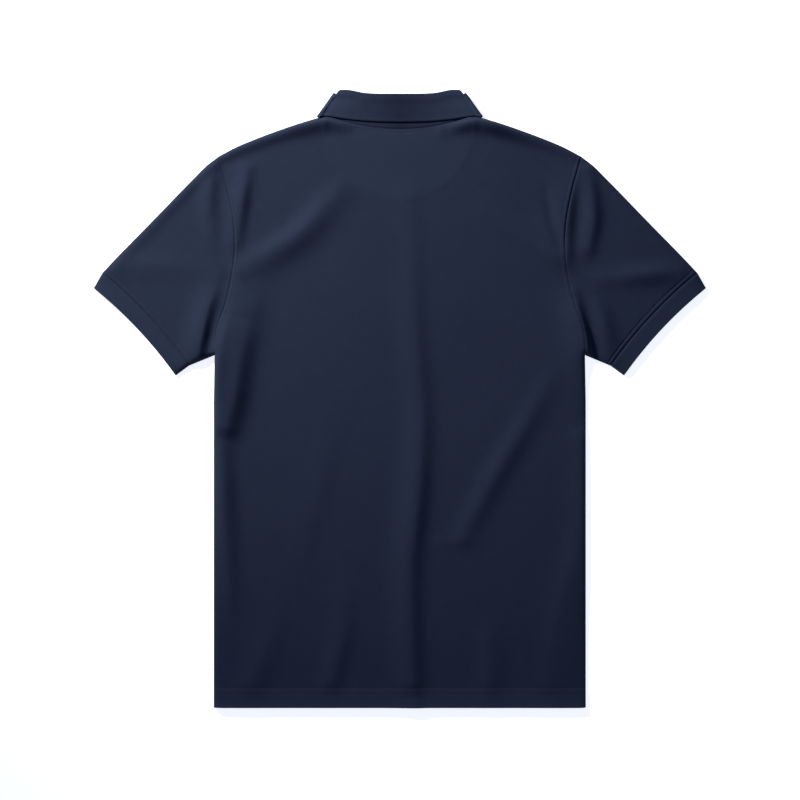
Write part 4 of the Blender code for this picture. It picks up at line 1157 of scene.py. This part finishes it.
KNIT_COLOUR = (0.0169, 0.0226, 0.0405)
RIB_COLOUR = (0.0178, 0.0236, 0.0425)
THREAD_COLOUR = (0.0125, 0.0167, 0.0300)
BUTTON_COLOUR = (0.016, 0.020, 0.036)
CLOTH_FINISH = {"roughness": 0.95, "sheen": 0.01, "sheen_roughness": 0.6, "specular": 0.03}
THREAD_FINISH = {"roughness": 0.6, "sheen": 0.1, "specular": 0.4}
RESIN_FINISH = {"roughness": 0.32}

# Noises have a scale, a detail and a share. Those of a mottle are added to a base shade.
PIQUE = 0.0017  # width and height of one pique cell
PIQUE_DEPTH = 0.00010
PIQUE_LOOPS = 4  # to a cell
PIQUE_LOOP_SHARE = 0.15
PIQUE_FUZZ = (2200.0, 2.0, 0.80)
# painted shade: the pits between the pique cells are darker and their tops lighter
PIQUE_PAINTED_SHADE = 0.05
KNIT_MOTTLE = ((14.0, 4.0, 0.10), (95.0, 3.0, 0.20), (900.0, 2.0, 0.16))
KNIT_BASE = 0.77
RIB_PITCH = 0.0014
RIB_DEPTH = 0.000035
RIB_LOOPS = 1.6
RIB_LOOP_SHARE = 0.25
RIB_FUZZ = (2400.0, 2.0, 0.70)
# painted shade: the grooves between the wales are darker and their tops lighter
RIB_PAINTED_SHADE = 0.02
RIB_MOTTLE = ((1000.0, 2.0, 0.20), (110.0, 3.0, 0.24))
RIB_BASE = 0.78
TWIST = 0.0005
TWIST_DEPTH = 0.00004
# painted shade: the grooves of the twist are darker and its ridges lighter
TWIST_PAINTED_SHADE = 0.08
RESIN_CLOUD = (240.0, 3.0, 0.50)
RESIN_BASE = 0.75
RESIN_GRAIN = (1500.0, 2.0, 1.0)
RESIN_DEPTH = 0.00001

MOON_LIGHTER = 0.09  # the back is this much lighter over the patch
MOON_BLUR = 0.0120
HEM_PAINTED_LIGHT = 0.15  # painted light over the hem, with as much again towards the edge
HEM_PAINTED_LIGHT_EDGE = 0.22
HEM_SHARPNESS = 12.0  # that comes in over this part of the hem's depth
COLLAR_PAINTED_SPAN = 0.0800  # from the middle of the collar to where it is lightest; painted shade on the middle, painted light towards the ends
COLLAR_PAINTED_SHADE = 0.60
COLLAR_PAINTED_LIGHT = 0.52
MIX_COLOURS, MIX_RESULT = (6, 7), 2  # the sockets of a mix node that hold colours


class Field:
    """A value that shader nodes work out at each point, written in formulas like a number."""

    def __init__(self, socket):
        self.socket = socket

    def worked(self, operation, *values):
        tree = self.socket.id_data
        node = tree.nodes.new("ShaderNodeMath")
        node.operation = operation
        for slot, value in zip(node.inputs, values):
            if isinstance(value, Field):
                tree.links.new(value.socket, slot)
            else:
                slot.default_value = value
        return Field(node.outputs[0])

    def __add__(self, other):
        return self.worked("ADD", self, other)

    def __sub__(self, other):
        return self.worked("SUBTRACT", self, other)

    def __rsub__(self, other):
        return self.worked("SUBTRACT", other, self)

    def __mul__(self, other):
        return self.worked("MULTIPLY", self, other)

    def wave(self):
        return self.worked("SINE", self)

    def root(self):
        return self.worked("SQRT", self)

    def size(self):
        return self.worked("ABSOLUTE", self)

    def at_most(self, highest):
        return self.worked("MINIMUM", self, highest)

    def at_least(self, lowest):
        return self.worked("MAXIMUM", self, lowest)


def fed_node(kind, socket, slot):
    """A new node with one of its inputs linked to a socket."""
    node = socket.id_data.nodes.new(kind)
    socket.id_data.links.new(socket, node.inputs[slot])
    return node


def new_material(name, roughness, sheen=0.0, sheen_roughness=0.5, specular=0.5):
    material = bpy.data.materials.new(name)
    material.use_nodes = True
    shader = material.node_tree.nodes["Principled BSDF"]
    shader.inputs["Roughness"].default_value = roughness
    shader.inputs["Sheen Weight"].default_value = sheen
    shader.inputs["Sheen Roughness"].default_value = sheen_roughness
    shader.inputs["Specular IOR Level"].default_value = specular
    return material, shader


def tinted(shader, colour, shade):
    """Base colour multiplied by a shade that runs about 1."""
    mix = fed_node("ShaderNodeMix", shade.socket, MIX_COLOURS[1])
    mix.data_type = "RGBA"
    mix.blend_type = "MULTIPLY"
    mix.inputs["Factor"].default_value = 1.0
    mix.inputs[MIX_COLOURS[0]].default_value = (*colour, 1.0)
    shader.id_data.links.new(mix.outputs[MIX_RESULT], shader.inputs["Base Color"])


def embossed(shader, height, depth):
    bump = fed_node("ShaderNodeBump", height.socket, "Height")
    bump.inputs["Distance"].default_value = depth
    bump.inputs["Strength"].default_value = 1.0
    shader.id_data.links.new(bump.outputs["Normal"], shader.inputs["Normal"])


def cloth_place(shader):
    """The cloth's own place in metres, and its u and v."""
    place = shader.id_data.nodes.new("ShaderNodeUVMap")
    place.uv_map = "cloth"
    split = fed_node("ShaderNodeSeparateXYZ", place.outputs["UV"], 0)
    return place.outputs["UV"], Field(split.outputs["X"]), Field(split.outputs["Y"])


def noise(place, scale, detail, share):
    node = fed_node("ShaderNodeTexNoise", place, "Vector")
    node.inputs["Scale"].default_value = scale
    node.inputs["Detail"].default_value = detail
    return Field(node.outputs["Fac"]) * share


def mottle(place, noises):
    """Several noises, added up."""
    first, *rest = [noise(place, *row) for row in noises]
    return sum(rest, first)


def painted_hem_light(v):
    """Painted light over the hem: about 1 above it, more over the hem's depth and most at its edge."""
    inside = ((HEM_Y + HEM_DEPTH - v) * (1 / HEM_DEPTH)).at_least(0.0).at_most(1.0)
    step = (inside * HEM_SHARPNESS).at_most(1.0)
    return step * HEM_PAINTED_LIGHT + inside * inside * HEM_PAINTED_LIGHT_EDGE + 1.0


def knit_material(name, patch_tone_and_hem_light=False):
    """Pique: rows of small raised cells, each row half a cell off the last, with fine loops in them.

    The flag lightens the cloth where the half-moon lies behind it, and paints light over the hem.
    """
    material, shader = new_material(name, **CLOTH_FINISH)
    place, u, v = cloth_place(shader)
    turn = 2 * math.pi / PIQUE
    cells = (u * turn).wave() * (v * turn).wave()
    loops = (v * (PIQUE_LOOPS * turn)).wave()
    embossed(shader, cells + loops * PIQUE_LOOP_SHARE + noise(place, *PIQUE_FUZZ), PIQUE_DEPTH)
    # painted shade in the pits between the cells
    shade = mottle(place, KNIT_MOTTLE) + cells * PIQUE_PAINTED_SHADE + KNIT_BASE
    if patch_tone_and_hem_light:
        up = v - MOON_CENTRE_Y
        inside = MOON_RADIUS - (u * u + up * up).root()
        soft = (inside * (1 / MOON_BLUR) + 0.5).at_least(0.0).at_most(1.0)
        # the patch's lighter tone, then painted light over the hem
        shade = (shade + soft * MOON_LIGHTER) * painted_hem_light(v)
    tinted(shader, KNIT_COLOUR, shade)
    return material


def rib_material(name, painted_ends=False):
    """Rib: wales that run across the band. The flag paints shade on the middle of the back and light on its
    two ends.
    """
    material, shader = new_material(name, **CLOTH_FINISH)
    place, u, v = cloth_place(shader)
    turn = 2 * math.pi / RIB_PITCH
    wales = (u * turn).wave()
    loops = (v * (RIB_LOOPS * turn)).wave()
    embossed(shader, wales + loops * RIB_LOOP_SHARE + noise(place, *RIB_FUZZ), RIB_DEPTH)
    # painted shade in the grooves between the wales
    shade = mottle(place, RIB_MOTTLE) + wales * RIB_PAINTED_SHADE + RIB_BASE
    if painted_ends:
        # painted shade on the middle of the collar's back, painted light towards its ends
        far = (u.size() * (1 / COLLAR_PAINTED_SPAN)).at_most(1.0)
        shade = shade * (far * COLLAR_PAINTED_LIGHT + COLLAR_PAINTED_SHADE)
    tinted(shader, RIB_COLOUR, shade)
    return material


def thread_material():
    """Sewing thread: a twist that winds along each stitch, with painted shade in its grooves."""
    material, shader = new_material("navy_thread", **THREAD_FINISH)
    place, u, v = cloth_place(shader)
    twist = ((u + v) * (2 * math.pi / TWIST)).wave()
    embossed(shader, twist, TWIST_DEPTH)
    tinted(shader, THREAD_COLOUR, twist * TWIST_PAINTED_SHADE + 1.0)
    return material


def button_material():
    """Satin resin with a faint cloud in it."""
    material, shader = new_material("navy_resin", **RESIN_FINISH)
    place = shader.id_data.nodes.new("ShaderNodeTexCoord").outputs["Object"]
    tinted(shader, BUTTON_COLOUR, noise(place, *RESIN_CLOUD) + RESIN_BASE)
    embossed(shader, noise(place, *RESIN_GRAIN), RESIN_DEPTH)
    return material


# ---------------------------------------------------------------- floor, light and camera

KEY_AT = (-1.22, 1.35, 1.05)
KEY_AIM = (-0.34, 0.52, 0.0)
KEY_CONE = math.radians(56)
KEY_SIZE = 0.10
KEY_POWER = 306.0
FILL = 0.18
FILL_COLOUR = (0.68, 0.98, 1.75)
FLOOR_DROP = 0.0002  # the floor lies this much below the cloth
FLOOR_SIZE = 40.0
FLOOR_COLOUR = (0.8, 0.8, 0.8, 1.0)
FLOOR_GLOW = 0.80
FLOOR_FINISH = {"roughness": 0.9, "specular": 0.0}
LENS, SENSOR = 85.0, 36.0
VIEW_END = 100
VIEW_WIDTH = 1.04  # what the camera takes in at the height of the cloth
VIEW_CENTRE = (0.00026, -0.00160)
CLOTH_HEIGHT = 0.004


def make_floor():
    bpy.ops.mesh.primitive_plane_add(size=FLOOR_SIZE, location=(0, 0, -FLOOR_DROP))
    floor = bpy.context.object
    floor.name = "floor"
    material, shader = new_material("pale_floor", **FLOOR_FINISH)
    shader.inputs["Base Color"].default_value = FLOOR_COLOUR
    shader.inputs["Emission Color"].default_value = (1, 1, 1, 1)
    shader.inputs["Emission Strength"].default_value = FLOOR_GLOW
    floor.data.materials.append(material)


def make_light():
    lamp = bpy.data.lights.new("key", "SPOT")
    lamp.shadow_soft_size = KEY_SIZE
    lamp.spot_size = KEY_CONE
    lamp.spot_blend = 1.0
    lamp.energy = KEY_POWER
    key = bpy.data.objects.new("key", lamp)
    key.location = KEY_AT
    aim = Vector(KEY_AIM) - key.location
    key.rotation_euler = aim.to_track_quat("-Z", "Y").to_euler()
    bpy.context.scene.collection.objects.link(key)
    world = bpy.data.worlds.new("fill")
    world.use_nodes = True
    sky = world.node_tree.nodes["Background"]
    sky.inputs["Color"].default_value = (*FILL_COLOUR, 1)
    sky.inputs["Strength"].default_value = FILL
    bpy.context.scene.world = world
    bpy.context.scene.view_settings.view_transform = "Standard"


def make_camera():
    lens = bpy.data.cameras.new("camera")
    lens.lens = LENS
    lens.sensor_width = SENSOR
    lens.clip_end = VIEW_END
    camera = bpy.data.objects.new("camera", lens)
    camera.location = (*VIEW_CENTRE, CLOTH_HEIGHT + VIEW_WIDTH * LENS / SENSOR)
    bpy.context.scene.collection.objects.link(camera)
    bpy.context.scene.camera = camera


# ---------------------------------------------------------------- buttons

BUTTON_SIDES, HOLE_SIDES = 48, 20
BUTTON_RIM = 0.0010
BUTTON_DISH = 0.00055
BUTTON_FLOOR = 0.0010  # from the rim's foot in to the floor of the dish, which rises once more
BUTTON_FLOOR_RISE = 0.00010
BUTTON_BACK = 0.0014  # how far in the back's step lies
BUTTON_BACK_DROP = 0.0001
BUTTON_ROUND = 0.00028
BUTTON_ROUND_FROM = math.radians(25)
BUTTON_ROUND_CELLS = 3
BUTTON_SHARP = math.radians(40)
LEVEL = 0.9  # a face whose normal rises by more than this is the button's face or its back
BUTTON_HOLE = 0.00075
HOLE_PLACES = 0.0012
DRILL = 3  # the length of what cuts them, in thicknesses
BUTTON_THREAD = 0.00026
BAR_PAST = 0.0006  # each bar of thread goes on past its two holes
BAR_POINTS = 9
BAR_PITCH, BAR_LENGTH = 0.999, 0.99  # one long stitch, in shares of the bar


def select_faces(thing, wanted):
    """Selects the faces of the mesh in edit mode that wanted(face) picks."""
    bm = bmesh.from_edit_mesh(thing.data)
    for face in bm.faces:
        face.select_set(bool(wanted(face)))
    bm.select_flush_mode()
    bmesh.update_edit_mesh(thing.data)


def turned_button(radius, thick):
    """A dished button with four holes, face down, its face at the origin."""
    bpy.ops.object.select_all(action="DESELECT")
    middle = (0, 0, thick / 2)
    bpy.ops.mesh.primitive_cylinder_add(vertices=BUTTON_SIDES, radius=radius, depth=thick, location=middle)
    button = bpy.context.object
    bpy.ops.object.transform_apply(location=True, rotation=False, scale=False)
    bpy.ops.object.mode_set(mode="EDIT")
    bpy.ops.mesh.select_mode(type="FACE")
    select_faces(button, lambda f: f.normal.z < -LEVEL)
    bpy.ops.mesh.inset(thickness=BUTTON_RIM, depth=0)
    bpy.ops.mesh.inset(thickness=BUTTON_DISH, depth=0)
    bpy.ops.transform.translate(value=(0, 0, BUTTON_DISH))
    bpy.ops.mesh.inset(thickness=BUTTON_FLOOR, depth=0)
    bpy.ops.transform.translate(value=(0, 0, BUTTON_FLOOR_RISE))
    select_faces(button, lambda f: f.normal.z > LEVEL)
    bpy.ops.mesh.inset(thickness=BUTTON_BACK, depth=0)
    bpy.ops.transform.translate(value=(0, 0, -BUTTON_BACK_DROP))
    bpy.ops.object.mode_set(mode="OBJECT")
    rounding = button.modifiers.new("rounding", "BEVEL")
    rounding.width = BUTTON_ROUND
    rounding.segments = BUTTON_ROUND_CELLS
    rounding.limit_method = "ANGLE"
    rounding.angle_limit = BUTTON_ROUND_FROM
    bpy.ops.object.modifier_apply(modifier=rounding.name)
    for x, y in product((-HOLE_PLACES, HOLE_PLACES), repeat=2):
        bpy.ops.object.select_all(action="DESELECT")
        bpy.ops.mesh.primitive_cylinder_add(
            vertices=HOLE_SIDES, radius=BUTTON_HOLE, depth=DRILL * thick, location=(x, y, 0)
        )
        drill = bpy.context.object
        bpy.ops.object.select_all(action="DESELECT")
        button.select_set(True)
        bpy.context.view_layer.objects.active = button
        hole = button.modifiers.new("hole", "BOOLEAN")
        hole.operation = "DIFFERENCE"
        hole.object = drill
        bpy.ops.object.modifier_apply(modifier=hole.name)
        bpy.data.objects.remove(drill, do_unlink=True)
    button.data.shade_smooth()
    button.data.set_sharp_from_angle(angle=BUTTON_SHARP)
    return button


def make_buttons(resin, thread):
    """Copies of one button at the places of the solids, each sewn on with two bars of thread."""
    low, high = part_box("button_1")
    radius, thick = (high[0] - low[0]) / 2, high[2] - low[2]
    pattern = turned_button(radius, thick)
    pattern.data.materials.clear()
    pattern.data.materials.append(resin)
    for number in BUTTONS:
        low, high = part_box(f"button_{number}")
        middle = ((low[0] + high[0]) / 2, (low[1] + high[1]) / 2)
        mesh = pattern.data.copy()
        mesh.transform(Matrix.Translation((*middle, low[2])))
        button = bpy.data.objects.new(f"resin_button_{number}", mesh)
        bpy.context.scene.collection.objects.link(button)
        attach(button, "root")
        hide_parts(f"button_{number}")
        bars = []
        for x in (-HOLE_PLACES, HOLE_PLACES):
            ys = np.linspace(-HOLE_PLACES - BAR_PAST, HOLE_PLACES + BAR_PAST, BAR_POINTS)
            plan = np.stack([np.full(BAR_POINTS, middle[0] + x), middle[1] + ys], axis=-1)
            line = with_height(plan, np.full(BAR_POINTS, low[2] + BUTTON_DISH))
            whole = lengths(line)[-1]
            bars.append(stitch_row(line, DOWN, whole * BAR_PITCH, whole * BAR_LENGTH, BUTTON_THREAD))
        sewn = add_stitching(f"button_thread_{number}", bars, thread)
    bpy.data.objects.remove(pattern, do_unlink=True)


# ---------------------------------------------------------------- the shirt

make_camera()
make_light()
make_floor()

knit, rib = knit_material("navy_pique"), rib_material("navy_rib_knit")
thread, resin = thread_material(), button_material()

back = make_back(knit_material("navy_pique_over_patch", patch_tone_and_hem_light=True))
front = make_front(knit)
moon = make_half_moon(knit)
collar = make_collar(rib_material("navy_collar_knit", painted_ends=True))
outer_strip = make_strip("placket_outer", "placket_top", CLOTH - STRIP, STRIP, knit)
inner_strip = make_strip("placket_inner", "placket_under", CLOTH + GAP, CLOTH, knit)
sleeves, cuffs, cuff_rows = [], [], []
for side, word in ((-1, "left"), (1, "right")):
    sleeves.append(make_sleeve(f"{word}_sleeve", f"sleeve_{word}", side, knit))
    cuffs.append(make_cuff(f"{word}_cuff", f"cuff_{word}", side, rib))
    cuff_rows.append(add_stitching(f"{word}_cuff_stitching", cuff_stitches(side), thread))
back_rows = add_stitching("back_stitching", back_stitches(), thread)
front_rows = add_stitching("front_stitching", front_stitches(), thread)
placket_rows = add_stitching("placket_stitching", placket_stitches(), thread)
make_buttons(resin, thread)
